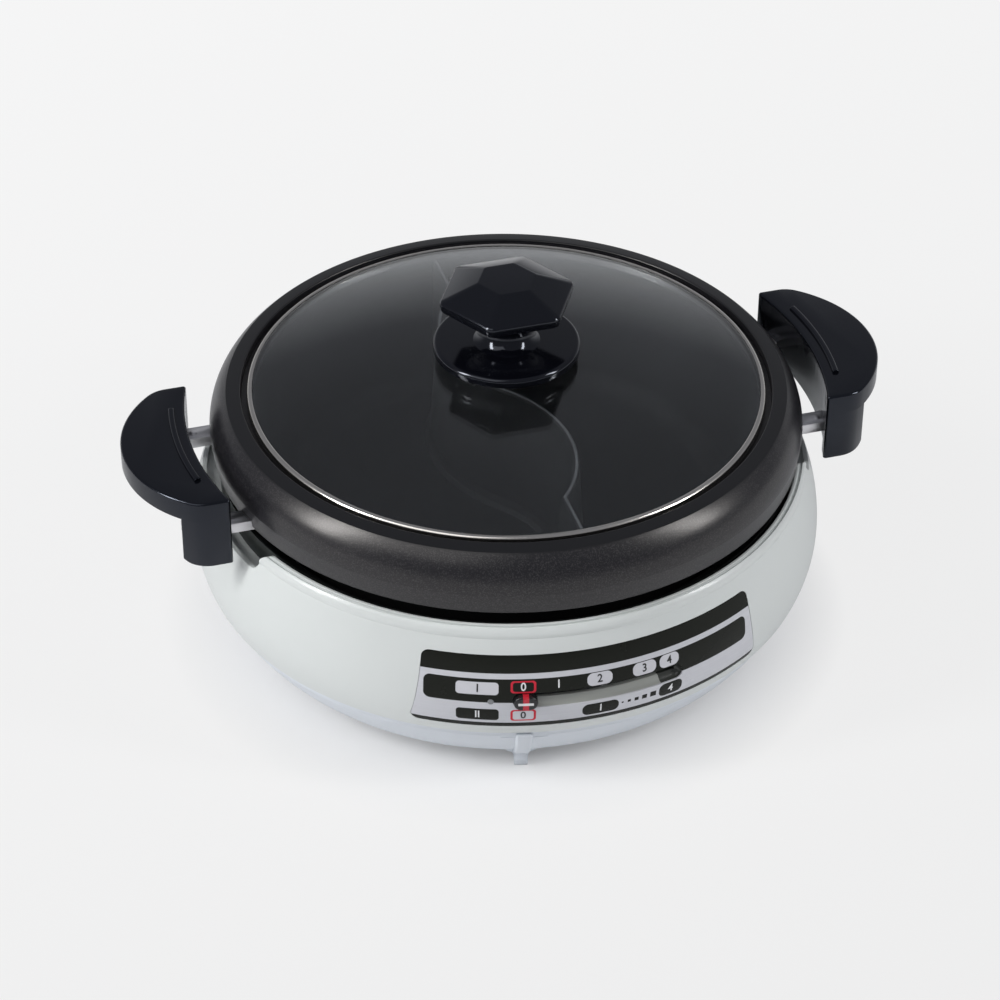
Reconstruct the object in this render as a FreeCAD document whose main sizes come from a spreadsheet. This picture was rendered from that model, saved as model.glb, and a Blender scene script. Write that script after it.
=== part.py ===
import FreeCAD, Part
import os
import re
import Sketcher
from FreeCAD import Placement, Rotation, Vector

# Electric hot pot: a heated base, a lift-off pot with a curved dividing wall, and a glass lid.
# Millimetres and degrees. Origin on the table at the middle of the pot, +Z up, the control
# panel faces -Y and the two handles lie on the X axis.

SIZES = [
    # pot: radii outward from the mouth, heights down from the rim
    ("pot_mouth_r", 151.0),
    ("seat_bevel_w", 2.6),
    ("seat_w", 8.7),
    ("rim_flat_w", 8.9),
    ("skirt_out", 10.6),
    ("skirt_tuck", 1.5),
    ("pot_draft", 13.0),
    ("seat_edge_r", "pot_mouth_r + seat_bevel_w"),
    ("rim_in_r", "pot_mouth_r + seat_w"),
    ("rim_flat_r", "rim_in_r + rim_flat_w"),
    ("skirt_r", "rim_flat_r + skirt_out"),
    ("skirt_low_r", "skirt_r - skirt_tuck"),
    ("pot_floor_r", "pot_mouth_r - pot_draft"),
    ("pot_base_z", 71.0),
    ("pot_h", 95.7),
    ("lid_recess", 6.1),
    ("seat_bevel_h", 3.2),
    ("rim_drop", 1.2),
    ("rim_bend_h", 23.0),
    ("skirt_band_h", 13.0),
    ("rim_z", "pot_base_z + pot_h"),
    ("seat_z", "rim_z - lid_recess"),
    ("pot_mouth_z", "seat_z - seat_bevel_h"),
    ("rim_edge_z", "rim_z - rim_drop"),
    ("skirt_crease_z", "rim_edge_z - rim_bend_h"),
    ("skirt_low_z", "skirt_crease_z - skirt_band_h"),
    ("pot_floor_t", 5.0),
    ("pot_wall", 4.1),
    ("pot_floor_bend", 16.0),
    ("pot_outer_bend", 22.0),
    ("seat_t", 3.2),
    ("rim_wall", 3.2),
    ("skirt_t", 2.6),
    ("divider_drop", 2.2),
    ("divider_top_z", "seat_z - divider_drop"),
    ("divider_share", 0.56),
    ("divider_bow_r", "pot_mouth_r * divider_share"),
    ("divider_turn_deg", 42.4),
    ("divider_hook_deg", 41.0),
    ("divider_half_top", 1.2),
    ("divider_half_crest", 2.2),
    ("divider_half_low", 6.4),
    ("divider_half_foot", 10.5),
    ("divider_crest_h", 1.6),
    ("divider_foot_h", 8.0),
    ("divider_sink", 1.0),
    # base shell
    ("belly_out", 12.8),
    ("belly_r", "skirt_r + belly_out"),
    ("belly_up", 2.0),
    ("belly_z", "pot_base_z + belly_up"),
    ("belly_up_r", 98.0),
    ("belly_down_r", 60.0),
    ("shell_wall", 2.6),
    ("shoulder_h", 41.5),
    ("shoulder_z", "belly_z + shoulder_h"),
    ("shoulder_bend_r", 6.0),
    ("lip_in", 2.5),
    ("lip_rise", 6.4),
    ("lip_r", "belly_r - belly_up_r + sqrt(belly_up_r^2 - shoulder_h^2) - lip_in"),
    ("lip_z", "shoulder_z + lip_rise"),
    ("lip_groove_w", 1.6),
    ("lip_groove_d", 1.2),
    ("bead_w", 1.9),
    ("bead_rise", 0.6),
    ("bead_r", "lip_r - lip_groove_w"),
    ("ledge_w", 16.2),
    ("ledge_r", "lip_r - ledge_w"),
    ("ledge_t", 2.2),
    ("notch_side", 8.5),
    ("notch_sill", 3.0),
    ("notch_corner_r", 10.0),
    # bottom housing and feet
    ("foot_rise", 9.0),
    ("pad_t", 1.5),
    ("seam_h", 25.0),
    ("seam_z", "belly_z - seam_h"),
    ("seam_gap", 0.3),
    ("seam_step", 1.7),
    ("skirt_run", 29.8),
    ("housing_top_r", "belly_r - belly_down_r + sqrt(belly_down_r^2 - seam_h^2) - seam_step"),
    ("housing_foot_r", "housing_top_r - skirt_run"),
    ("skirt_bow_r", 90.0),
    ("housing_wall", 2.5),
    ("lap_t", 1.6),
    ("lap_h", 5.0),
    ("foot_deg", -13.3),
    ("foot_w", 8.0),
    ("foot_len", 9.0),
    ("foot_stand", 2.2),
    ("flank_deg", 8.5),
    ("flank_t", 1.2),
    ("screw_r", 2.0),
    ("screw_head_r", 3.8),
    ("screw_head_t", 3.0),
    ("screw_sink", 5.0),
    ("screw_tail", 2.0),
    # guard ring and dish
    ("guard_t", 1.0),
    ("guard_play", 2.4),
    ("guard_drop", 1.3),
    ("guard_lap", 3.0),
    ("guard_air", 10.5),
    ("guard_depth", 13.0),
    ("guard_h", 48.0),
    ("guard_floor_w", 11.0),
    ("guard_r", "bead_r - bead_w - guard_play"),
    ("guard_top_z", "lip_z - guard_drop"),
    ("guard_neck_r", "ledge_r - guard_lap"),
    ("guard_foot_r", "pot_floor_r + guard_air"),
    ("guard_floor_z", "pot_base_z - guard_depth"),
    ("guard_hole_r", "pot_floor_r - guard_floor_w"),
    ("ledge_z", "guard_floor_z + guard_h"),
    ("notch_z", "ledge_z + notch_sill"),
    ("post_inset", 12.0),
    ("post_pcr", "guard_hole_r + post_inset"),
    ("post_r", 6.5),
    ("vent_inset", 19.0),
    ("vent_pcr", "guard_hole_r - vent_inset"),
    ("vent_len", 30.0),
    ("vent_w", 5.0),
    ("dish_t", 1.0),
    ("dish_depth", 21.0),
    ("dish_floor_z", "pot_base_z - dish_depth"),
    ("dish_flange", 7.0),
    ("dish_hole_gap", 2.0),
    ("fit_gap", 0.3),
    ("cut_over", 1.0),
    # heater and thermostat
    ("tube_r", 4.0),
    ("tube_inset", 35.0),
    ("tube_loop_r", "guard_hole_r - tube_inset"),
    ("tube_gap_deg", 30.0),
    ("cold_end_len", 14.0),
    ("clip_w", 8.0),
    ("clip_len", 13.0),
    ("rest_inset", 15.0),
    ("rest_pcr", "guard_hole_r - rest_inset"),
    ("rest_w", 14.0),
    ("rest_len", 10.0),
    ("sensor_r", 14.0),
    ("thermostat_w", 44.0),
    ("thermostat_d", 34.0),
    ("thermostat_h", 18.0),
    ("strap_t", 1.5),
    ("strap_w", 16.0),
    ("strap_ear", 10.0),
    # lever
    ("shaft_r", 4.0),
    ("shaft_neck_r", 3.0),
    ("running_gap", 0.05),
    ("bore_depth", 12.0),
    ("arm_t", 1.6),
    ("arm_w", 12.0),
    ("arm_reach", 11.0),
    ("arm_r", "housing_foot_r + arm_reach"),
    ("arm_drop", 25.6),
    ("arm_z", "dish_floor_z - arm_drop"),
    ("tab_w", 8.0),
    ("hub_r", 9.0),
    ("nut_r", 5.5),
    ("nut_t", 4.0),
    ("lever_deg", 13.3),
    ("knob_half_w", 7.0),
    ("knob_play", 0.6),
    ("knob_back_gap", 1.6),
    ("knob_stand", 3.3),
    ("knob_edge_r", 1.2),
    # panel, slot and lamp
    ("panel_t", 0.8),
    ("panel_below", 16.7),
    ("panel_above", 32.7),
    ("panel_low_z", "belly_z - panel_below"),
    ("panel_high_z", "belly_z + panel_above"),
    ("panel_low_half", 105.7),
    ("panel_taper", 8.1),
    ("panel_high_half", "panel_low_half - panel_taper"),
    ("panel_corner_r", 5.0),
    ("slot_up", 3.7),
    ("slot_z", "belly_z + slot_up"),
    ("slot_lip", 0.3),
    ("slot_end_gap", 0.5),
    ("trough_r", 5.4),
    ("trough_wall", 2.2),
    ("trough_rim", 1.6),
    ("slot_half_h", "trough_r - slot_lip"),
    ("knob_half_h", "trough_r - knob_play"),
    ("slit_h", 3.0),
    ("lamp_deg", -19.3),
    ("lamp_drop", 0.7),
    ("lamp_z", "slot_z - lamp_drop"),
    ("lens_r", 1.8),
    ("bulb_r", 3.0),
    ("bulb_len", 12.0),
    # power inlet
    ("inlet_w", 38.0),
    ("inlet_h", 22.0),
    ("inlet_depth", 24.0),
    ("inlet_inset", 0.8),
    ("inlet_up", 3.0),
    ("inlet_face_y", "belly_r - inlet_inset"),
    ("inlet_z", "belly_z + inlet_up"),
    ("socket_w", 30.0),
    ("socket_h", 14.0),
    ("socket_depth", 14.0),
    ("pin_r", 2.0),
    ("pin_pitch", 14.0),
    ("pin_len", 11.0),
    ("block_w", 42.0),
    ("block_d", 18.0),
    ("block_h", 15.0),
    ("block_inset", 23.0),
    ("block_y", "guard_hole_r - block_inset"),
    ("fuse_r", 3.0),
    ("fuse_len", 20.0),
    # handles and brackets
    ("grip_gap", 14.3),
    ("grip_wall", 4.0),
    ("grip_reach", 41.5),
    ("grip_out_r", 74.1),
    ("grip_share", 0.823),
    ("grip_in_r", "skirt_r + grip_gap"),
    ("grip_tip", "grip_in_r + grip_reach"),
    ("grip_half_w", "grip_out_r * grip_share"),
    ("notch_half_w", "grip_half_w + notch_side"),
    ("grip_drop", 7.7),
    ("grip_h", 45.0),
    ("grip_top_z", "rim_z - grip_drop"),
    ("grip_leg_z", "grip_top_z - grip_h"),
    ("grip_cap_t", 4.0),
    ("grip_rim_h", 13.0),
    ("grip_rim_t", 3.5),
    ("grip_leg_t", 9.0),
    ("grip_step", 1.2),
    ("grip_corner_r", 18.0),
    ("grip_heel_r", 7.0),
    ("grip_edge_r", 2.0),
    ("grip_sill", 8.0),
    ("rib_inset", 8.0),
    ("rib_r", "grip_in_r + rib_inset"),
    ("rib_half_w", 2.0),
    ("rib_rise", 1.6),
    ("rib_bow_r", "(rib_half_w^2 + rib_rise^2) / (2 * rib_rise)"),
    ("rib_deg", 21.2),
    ("bracket_inset", 16.0),
    ("bracket_y", "grip_half_w - bracket_inset"),
    ("bracket_w", 12.0),
    ("bracket_t", 1.5),
    ("bracket_h", 6.5),
    ("bracket_up", 4.5),
    ("bracket_z", "skirt_low_z + bracket_up"),
    ("lug_out", 1.0),
    ("bracket_in_x", "pot_mouth_r + lug_out"),
    ("lug_len", 20.0),
    ("boss_h", 11.0),
    ("dimple_out", 4.8),
    ("dimple_x", "skirt_r + dimple_out"),
    ("dimple_r", 2.6),
    ("dimple_rise", 0.7),
    ("rivet_r", 1.6),
    ("rivet_head_r", 3.0),
    ("rivet_head_t", 1.6),
    ("rivet_depth", 5.0),
    ("grip_screw_in", 9.5),
    ("grip_screw_x", "grip_in_r + grip_screw_in"),
    ("grip_screw_len", 12.0),
    ("grip_head_r", 3.4),
    ("grip_head_t", 2.0),
    ("grip_boss_r", 5.5),
    ("bracket_end", 7.0),
    ("bracket_end_x", "grip_screw_x + bracket_end"),
    ("window_gap", 0.5),
    # lid
    ("lid_play", 3.7),
    ("lid_rim_r", "rim_in_r - lid_play"),
    ("lid_rim_t", 0.6),
    ("lid_rim_lap", 3.0),
    ("lid_rim_slack", 0.05),
    ("lid_gap", 0.3),
    ("glass_t", 4.0),
    ("glass_rise", 22.0),
    ("glass_play", 0.3),
    ("glass_hole_r", 4.5),
    ("gasket_in_r", 20.0),
    ("gasket_r", 30.0),
    ("gasket_t", 1.46),
    ("flange_r", 44.0),
    ("flange_h", 8.4),
    ("flange_edge_t", 6.0),
    ("flange_bend_r", 2.6),
    ("flange_taper", 3.0),
    ("neck_foot_r", 20.0),
    ("neck_r", 13.5),
    ("neck_low_h", 12.0),
    ("neck_high_h", 14.5),
    ("neck_head_r", 29.0),
    ("neck_foot_bend", 11.5),
    ("neck_head_bend", 19.0),
    ("hex_r", 42.0),
    ("hex_edge_t", 6.4),
    ("hex_step", 1.0),
    ("hex_corner_r", 6.0),
    ("crown_r", 18.0),
    ("crown_rise", 9.7),
    ("crown_corner_r", 2.0),
    ("bolt_r", 3.0),
    ("bolt_head_r", 6.0),
    ("bolt_head_t", 4.0),
    ("washer_r", 12.0),
    ("washer_t", 1.5),
    ("bolt_grip", 14.0),
]
NAMES = {name for name, value in SIZES}

doc = FreeCAD.newDocument("HotPot")
pieces = []


# ---- helpers: the sheet, bound properties, sketches and features ----

def make_sheet():
    sheet = doc.addObject("Spreadsheet::Sheet", "Sizes")
    for row, (name, value) in enumerate(SIZES, start=1):
        sheet.set(f"A{row}", name)
        sheet.set(f"B{row}", f"={value}")
        sheet.setAlias(f"B{row}", name)
    doc.recompute()
    return sheet


def full(expression):
    """The expression with each size name pointed at the sheet."""
    return re.sub(r"[a-z_][a-z_0-9]*",
                  lambda word: "Sizes." + word.group() if word.group() in NAMES else word.group(),
                  str(expression))


def value_of(expression):
    return float(sheet.evalExpression(full(expression)))


def bind(thing, path, expression):
    thing.setExpression(path, full(expression))


def place(thing, x="0", y="0", z="0", turn=None, axis=(0, 0, 1)):
    """Placement bound to the sheet: base point, then an optional turn in degrees about axis."""
    if turn is not None:
        thing.Placement = Placement(Vector(), Rotation(Vector(*axis), value_of(turn)))
        bind(thing, "Placement.Rotation.Angle", turn)
    for path, expression in (("x", x), ("y", y), ("z", z)):
        bind(thing, "Placement.Base." + path, expression)
    return thing


def primitive(kind, name, x="0", y="0", z="0", turn=None, axis=(0, 0, 1), **sizes):
    solid = doc.addObject("Part::" + kind, name)
    for path, expression in sizes.items():
        bind(solid, path, expression)
    return place(solid, x, y, z, turn, axis)


def box(name, x, y, z, length, width, height):
    """A box by its lowest corner."""
    return primitive("Box", name, x, y, z, Length=length, Width=width, Height=height)


def rod(name, x, y, z, radius, height, turn=None, axis=(0, 0, 1)):
    return primitive("Cylinder", name, x, y, z, turn, axis, Radius=radius, Height=height)


def joined(name, solids):
    result = doc.addObject("Part::MultiFuse", name)
    result.Shapes = solids
    return result


def cut(name, base, tools):
    result = doc.addObject("Part::Cut", name)
    result.Base = base
    result.Tool = tools[0] if len(tools) == 1 else joined(name + "_tools", tools)
    return result


def common(name, first, second):
    result = doc.addObject("Part::Common", name)
    result.Base = first
    result.Tool = second
    return result


def group(name, solids):
    result = doc.addObject("Part::Compound", name)
    result.Links = solids
    return result


def mirrored(name, source, normal):
    result = doc.addObject("Part::Mirroring", name)
    result.Source = source
    result.Normal = Vector(*normal)
    return result


def finish(thing, label):
    thing.Label = label
    pieces.append(thing)
    return thing


def new_body(name):
    return doc.addObject("PartDesign::Body", name)


def new_sketch(body, name, role, lift=None):
    """A sketch on one of the body's own origin planes, lifted along the plane's normal."""
    plane = [item for item in body.Origin.OriginFeatures if item.Role == role][0]
    sketch = body.newObject("Sketcher::SketchObject", name)
    sketch.AttachmentSupport = [(plane, "")]
    sketch.MapMode = "FlatFace"
    if lift is not None:
        bind(sketch, "AttachmentOffset.Base.z", lift)
    return sketch


def arc_middle(start, end, radius, side):
    """The middle of an arc between two points; side 1 bulges to the left of the chord."""
    chord = end - start
    half = chord.Length / 2
    rise = radius - max(radius * radius - half * half, 0) ** 0.5
    left = Vector(-chord.y, chord.x, 0).normalize()
    return (start + end) / 2 + left * rise * side


def outline(sketch, points):
    """A closed, fully constrained outline. Each point is (x, y) or (x, y, radius, side), and
    a radius makes the edge to the next point an arc."""
    corners = [Vector(value_of(point[0]), value_of(point[1]), 0) for point in points]
    edges = []
    for index, point in enumerate(points):
        start = corners[index]
        end = corners[(index + 1) % len(points)]
        if len(point) == 2:
            edges.append(sketch.addGeometry(Part.LineSegment(start, end)))
        else:
            middle = arc_middle(start, end, value_of(point[2]), point[3])
            edges.append(sketch.addGeometry(Part.Arc(start, middle, end)))
    ends = []
    for index, edge in enumerate(edges):
        forward = (sketch.getPoint(edge, 1) - corners[index]).Length < 1e-6
        ends.append((1, 2) if forward else (2, 1))
    for index, edge in enumerate(edges):
        follower = (index + 1) % len(edges)
        sketch.addConstraint(Sketcher.Constraint(
            "Coincident", edge, ends[index][1], edges[follower], ends[follower][0]))
    for index, point in enumerate(points):
        pin_point(sketch, edges[index], ends[index][0], "DistanceX", -2, point[0], corners[index].x)
        pin_point(sketch, edges[index], ends[index][0], "DistanceY", -1, point[1], corners[index].y)
        if len(point) > 2:
            number = sketch.addConstraint(
                Sketcher.Constraint("Radius", edges[index], value_of(point[2])))
            bind(sketch, f"Constraints[{number}]", point[2])


def pin_point(sketch, edge, end, kind, zero_axis, expression, value):
    """Fix one coordinate of an edge's end, on the axis itself where it is zero."""
    if str(expression) == "0":
        sketch.addConstraint(Sketcher.Constraint("PointOnObject", edge, end, zero_axis))
        return
    number = sketch.addConstraint(Sketcher.Constraint(kind, -1, 1, edge, end, value))
    bind(sketch, f"Constraints[{number}]", expression)


def turned(name, points, angle=None):
    """A body turned about Z from an outline in the XZ plane, all round or by an angle."""
    body = new_body(name)
    sketch = new_sketch(body, name + "_outline", "XZ_Plane")
    outline(sketch, points)
    feature = body.newObject("PartDesign::Revolution", name + "_turn")
    feature.Profile = sketch
    feature.ReferenceAxis = (sketch, ["V_Axis"])
    if angle is None:
        feature.Angle = 360
    else:
        bind(feature, "Angle", angle)
    doc.recompute()
    return body


def padded(name, role, points, length, lift=None, both=False):
    """A body padded along a plane's normal, or evenly to both sides of the plane."""
    body = new_body(name)
    sketch = new_sketch(body, name + "_outline", role, lift)
    outline(sketch, points)
    feature = body.newObject("PartDesign::Pad", name + "_pad")
    feature.Profile = sketch
    bind(feature, "Length", length)
    if both:
        feature.Midplane = True
    doc.recompute()
    return body


def round_edges(body, picked, radius):
    """A fillet on the body's edges that the test picks."""
    base = body.Tip
    edges = base.Shape.Edges
    names = [f"Edge{index}" for index, edge in enumerate(edges, start=1) if picked(edge)]
    feature = body.newObject("PartDesign::Fillet", f"{body.Name}_round")
    feature.Base = (base, names)
    bind(feature, "Radius", radius)
    doc.recompute()


def rings_at(radius, height):
    """A test for round edges of one radius at one height."""
    ring_r = value_of(radius)
    ring_z = value_of(height)

    def test(edge):
        if not hasattr(edge.Curve, "Radius"):
            return False
        level = abs(edge.CenterOfMass.z - ring_z) < 0.01
        return level and abs(edge.Curve.Radius - ring_r) < 0.01
    return test


def corner_at(x):
    """A test for upright edges at one x."""
    edge_x = value_of(x)

    def test(edge):
        box = edge.BoundBox
        upright = box.ZLength > 1 and box.XLength < 0.01 and box.YLength < 0.01
        return upright and abs(box.XMin - edge_x) < 0.01
    return test


def stadium(half_length, half_height, centre_z="0"):
    """A slot-shaped outline about a height, with its length along the sketch's x."""
    flat = f"(({half_length}) - ({half_height}))"
    low = f"({centre_z}) - ({half_height})"
    high = f"({centre_z}) + ({half_height})"
    return [(f"-{flat}", low), (flat, low, half_height, -1),
            (half_length, centre_z, half_height, -1), (flat, high),
            (f"-{flat}", high, half_height, -1), (f"-({half_length})", centre_z, half_height, -1)]


# ---- shapes that several pieces share ----

def belly(z, inset="0"):
    """Radius of the shell's outer face at a height above its widest line, less an inset."""
    return f"(belly_r - belly_up_r + sqrt((belly_up_r - ({inset}))^2 - (({z}) - belly_z)^2))"


def belly_low(z, inset="0"):
    """The same below the widest line."""
    return f"(belly_r - belly_down_r + sqrt((belly_down_r - ({inset}))^2 - (({z}) - belly_z)^2))"


def belly_band(name, low_z, high_z, inner_inset, outer_inset):
    """A ring of even thickness that follows the shell's outer face between two heights."""
    inner_up = f"belly_up_r - ({inner_inset})"
    inner_down = f"belly_down_r - ({inner_inset})"
    outer_up = f"belly_up_r - ({outer_inset})"
    outer_down = f"belly_down_r - ({outer_inset})"
    return turned(name, [
        (belly_low(low_z, outer_inset), low_z, outer_down, -1),
        (f"belly_r - ({outer_inset})", "belly_z", outer_up, -1),
        (belly(high_z, outer_inset), high_z),
        (belly(high_z, inner_inset), high_z, inner_up, 1),
        (f"belly_r - ({inner_inset})", "belly_z", inner_down, 1),
        (belly_low(low_z, inner_inset), low_z),
    ])


def panel_prism(name):
    """The panel's outline carried from the middle plane through the front of the shell."""
    low = "panel_low_half"
    high = "panel_high_half"
    corner = "panel_corner_r"
    body = padded(name, "XZ_Plane", [
        (f"-({low} - {corner})", "panel_low_z"),
        (f"{low} - {corner}", "panel_low_z", corner, -1),
        (low, f"panel_low_z + {corner}"),
        (high, f"panel_high_z - {corner}", corner, -1),
        (f"{high} - {corner}", "panel_high_z"),
        (f"-({high} - {corner})", "panel_high_z", corner, -1),
        (f"-{high}", f"panel_high_z - {corner}"),
        (f"-{low}", f"panel_low_z + {corner}", corner, -1),
    ], "belly_r + 4 * cut_over")
    return body


SLOT_HALF_DEG = "(lever_deg + knob_half_w / belly_r * 180 / pi + slot_end_gap / belly_r * 180 / pi)"
SLOT_HALF_X = f"(belly_r * sin({SLOT_HALF_DEG}))"


def slot_prism(name, margin):
    return padded(name, "XZ_Plane",
                  stadium(f"{SLOT_HALF_X} + ({margin})", f"slot_half_h + ({margin})", "slot_z"),
                  "belly_r + 4 * cut_over")


def spokes(count, first="0"):
    """Angle expressions of evenly spaced places, counted from +X."""
    return [f"(({first}) + {360 / count * number})" for number in range(count)]


def at(radius, angle):
    """x and y expressions of a place on a circle."""
    return f"({radius}) * cos({angle})", f"({radius}) * sin({angle})"


# ---- base ----

POST_DEGREES = spokes(4, "45")
FOOT_DEGREES = spokes(4, "foot_deg - 90")
REST_DEGREES = spokes(3, "30")
CLIP_DEGREES = spokes(4, "45")
HOUSING_FLOOR_Z = "(foot_rise + housing_wall)"
DISH_TOP_Z = "(dish_floor_z + dish_t)"
TUBE_Z = "(pot_base_z - fit_gap - tube_r)"
THERMOSTAT_Z = "(dish_floor_z - thermostat_h)"


def skirt_points(out, top_z, low_z):
    """The sloping skirt's face as two points and an arc, moved outward by out."""
    return [(f"housing_foot_r + ({out})", low_z, "skirt_bow_r", -1),
            (f"housing_top_r + ({out})", top_z)]


def bottom_housing():
    top = "seam_z - seam_gap"
    wall = "housing_wall"
    skirt = turned("housing_skirt", [
        ("0", "foot_rise"),
        *skirt_points("0", top, "foot_rise"),
        (f"housing_top_r - {wall}", top, "skirt_bow_r", 1),
        (f"housing_foot_r - {wall}", HOUSING_FLOOR_Z),
        ("0", HOUSING_FLOOR_Z),
    ])
    lip = turned("housing_lip", [
        ("housing_top_r - housing_wall - lap_t", "seam_z - lap_h"),
        ("housing_top_r - housing_wall + lap_t / 2", "seam_z - lap_h"),
        ("housing_top_r - housing_wall + lap_t / 2", "seam_z + lap_h"),
        ("housing_top_r - housing_wall - lap_t", "seam_z + lap_h"),
    ])
    solids = [skirt, lip]
    for number, angle in enumerate(FOOT_DEGREES):
        flank = turned(f"flank_{number}", [
            ("housing_foot_r - cut_over", "foot_rise + cut_over"),
            *skirt_points("flank_t", f"{top} - cut_over", "foot_rise + cut_over"),
            ("housing_top_r - cut_over", f"{top} - cut_over", "skirt_bow_r", 1),
        ], "flank_deg")
        solids.append(place(flank, turn=f"{angle} - flank_deg / 2"))
        leg = padded(f"leg_{number}", "XZ_Plane", [
            ("housing_foot_r - foot_len / 2", "pad_t"),
            ("housing_foot_r + foot_len / 2", "pad_t"),
            ("housing_foot_r + flank_t + foot_stand + cut_over", "foot_rise + cut_over",
             "skirt_bow_r", -1),
            ("housing_top_r + flank_t + foot_stand", top),
            ("housing_top_r - cut_over", top, "skirt_bow_r", 1),
            ("housing_foot_r - foot_len / 2", "foot_rise + cut_over"),
        ], "foot_w", both=True)
        solids.append(place(leg, turn=angle))
    for number, angle in enumerate(POST_DEGREES):
        x, y = at("post_pcr", angle)
        solids.append(rod(f"post_{number}", x, y, "foot_rise", "post_r",
                          "guard_floor_z - foot_rise"))
    tools = []
    for number, angle in enumerate(POST_DEGREES):
        x, y = at("post_pcr", angle)
        tools.append(rod(f"post_bore_{number}", x, y, "foot_rise", "screw_r",
                         "guard_floor_z - foot_rise"))
        tools.append(rod(f"post_sink_{number}", x, y, "foot_rise", "screw_head_r + fit_gap",
                         "screw_sink + screw_head_t"))
    for number, angle in enumerate(spokes(12, "15")):
        slot = padded(f"vent_{number}", "XY_Plane", stadium("vent_len / 2", "vent_w / 2"),
                      HOUSING_FLOOR_Z)
        tools.append(place(slot, *at("vent_pcr", angle), turn=angle))
    return cut("housing", joined("housing_solid", solids), tools)


def foot_pads():
    pads = []
    for number, angle in enumerate(FOOT_DEGREES):
        pad = padded(f"pad_{number}", "XY_Plane", [
            ("housing_foot_r - foot_len / 2", "-foot_w / 2"),
            ("housing_foot_r + foot_len / 2", "-foot_w / 2"),
            ("housing_foot_r + foot_len / 2", "foot_w / 2"),
            ("housing_foot_r - foot_len / 2", "foot_w / 2"),
        ], "pad_t")
        pads.append(place(pad, turn=angle))
    return group("pads", pads)


def housing_screws():
    screws = []
    for number, angle in enumerate(POST_DEGREES):
        x, y = at("post_pcr", angle)
        head_z = "(foot_rise + screw_sink)"
        head = rod(f"screw_head_{number}", x, y, head_z, "screw_head_r", "screw_head_t")
        stem = rod(f"screw_stem_{number}", x, y, f"{head_z} + screw_head_t", "screw_r",
                   f"guard_floor_z + guard_t + screw_tail - {head_z} - screw_head_t")
        screws.append(joined(f"screw_{number}", [head, stem]))
    return group("screws", screws)


def base_shell():
    wall = "shell_wall"
    shell = turned("shell_wall_ring", [
        (belly_low("seam_z"), "seam_z", "belly_down_r", -1),
        ("belly_r", "belly_z", "belly_up_r", -1),
        (belly("shoulder_z"), "shoulder_z", "shoulder_bend_r", -1),
        ("lip_r", "lip_z"),
        ("lip_r", "lip_z - lip_groove_d"),
        ("bead_r", "lip_z - lip_groove_d"),
        ("bead_r", "lip_z + bead_rise"),
        ("bead_r - bead_w", "lip_z + bead_rise"),
        ("bead_r - bead_w", f"lip_z - {wall}"),
        (belly("shoulder_z", wall), "shoulder_z", f"belly_up_r - {wall}", 1),
        (belly("ledge_z", wall), "ledge_z"),
        ("ledge_r", "ledge_z"),
        ("ledge_r", "ledge_z - ledge_t"),
        (belly("ledge_z - ledge_t", wall), "ledge_z - ledge_t", f"belly_up_r - {wall}", 1),
        (f"belly_r - {wall}", "belly_z", f"belly_down_r - {wall}", 1),
        (belly_low("seam_z", wall), "seam_z"),
    ])
    corner = "notch_corner_r"
    notch = padded("notch", "YZ_Plane", [
        (f"-(notch_half_w - {corner})", "notch_z"),
        (f"notch_half_w - {corner}", "notch_z", corner, -1),
        ("notch_half_w", f"notch_z + {corner}"),
        ("notch_half_w", "lip_z + bead_rise + cut_over"),
        ("-notch_half_w", "lip_z + bead_rise + cut_over"),
        ("-notch_half_w", f"notch_z + {corner}", corner, -1),
    ], "(belly_r + cut_over) * 2", both=True)
    recess = common("panel_recess", panel_prism("recess_prism"),
                    belly_band("recess_band", "panel_low_z", "panel_high_z", "panel_t",
                               "-2 * cut_over"))
    lens_hole = lamp_rod("shell_lens_hole", "belly_r - trough_r * 2", "lens_r", "trough_r * 4")
    inlet_hole = box("inlet_hole", "-inlet_w / 2", "inlet_face_y - inlet_depth",
                     "inlet_z - inlet_h / 2", "inlet_w", "inlet_depth * 2", "inlet_h")
    trough_hole = slot_prism("trough_hole", "trough_rim")
    return cut("shell", shell, [notch, recess, trough_hole, lens_hole, inlet_hole])


def lamp_rod(name, start_r, radius, length):
    """A rod that lies along the lamp's radius, from a distance out."""
    along_x = rod(name + "_rod", start_r, "0", "lamp_z", radius, length, turn="90",
                  axis=(0, 1, 0))
    return place(group(name, [along_x]), turn="lamp_deg - 90")


def control_panel():
    sheet_ring = belly_band("panel_band", "panel_low_z", "panel_high_z", "panel_t", "0")
    film = common("panel_film", panel_prism("panel_outline"), sheet_ring)
    hole = lamp_rod("panel_lens_hole", "belly_r - trough_r * 2", "lens_r", "trough_r * 4")
    return cut("panel", film, [slot_prism("panel_slot", "0"), hole])


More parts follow.
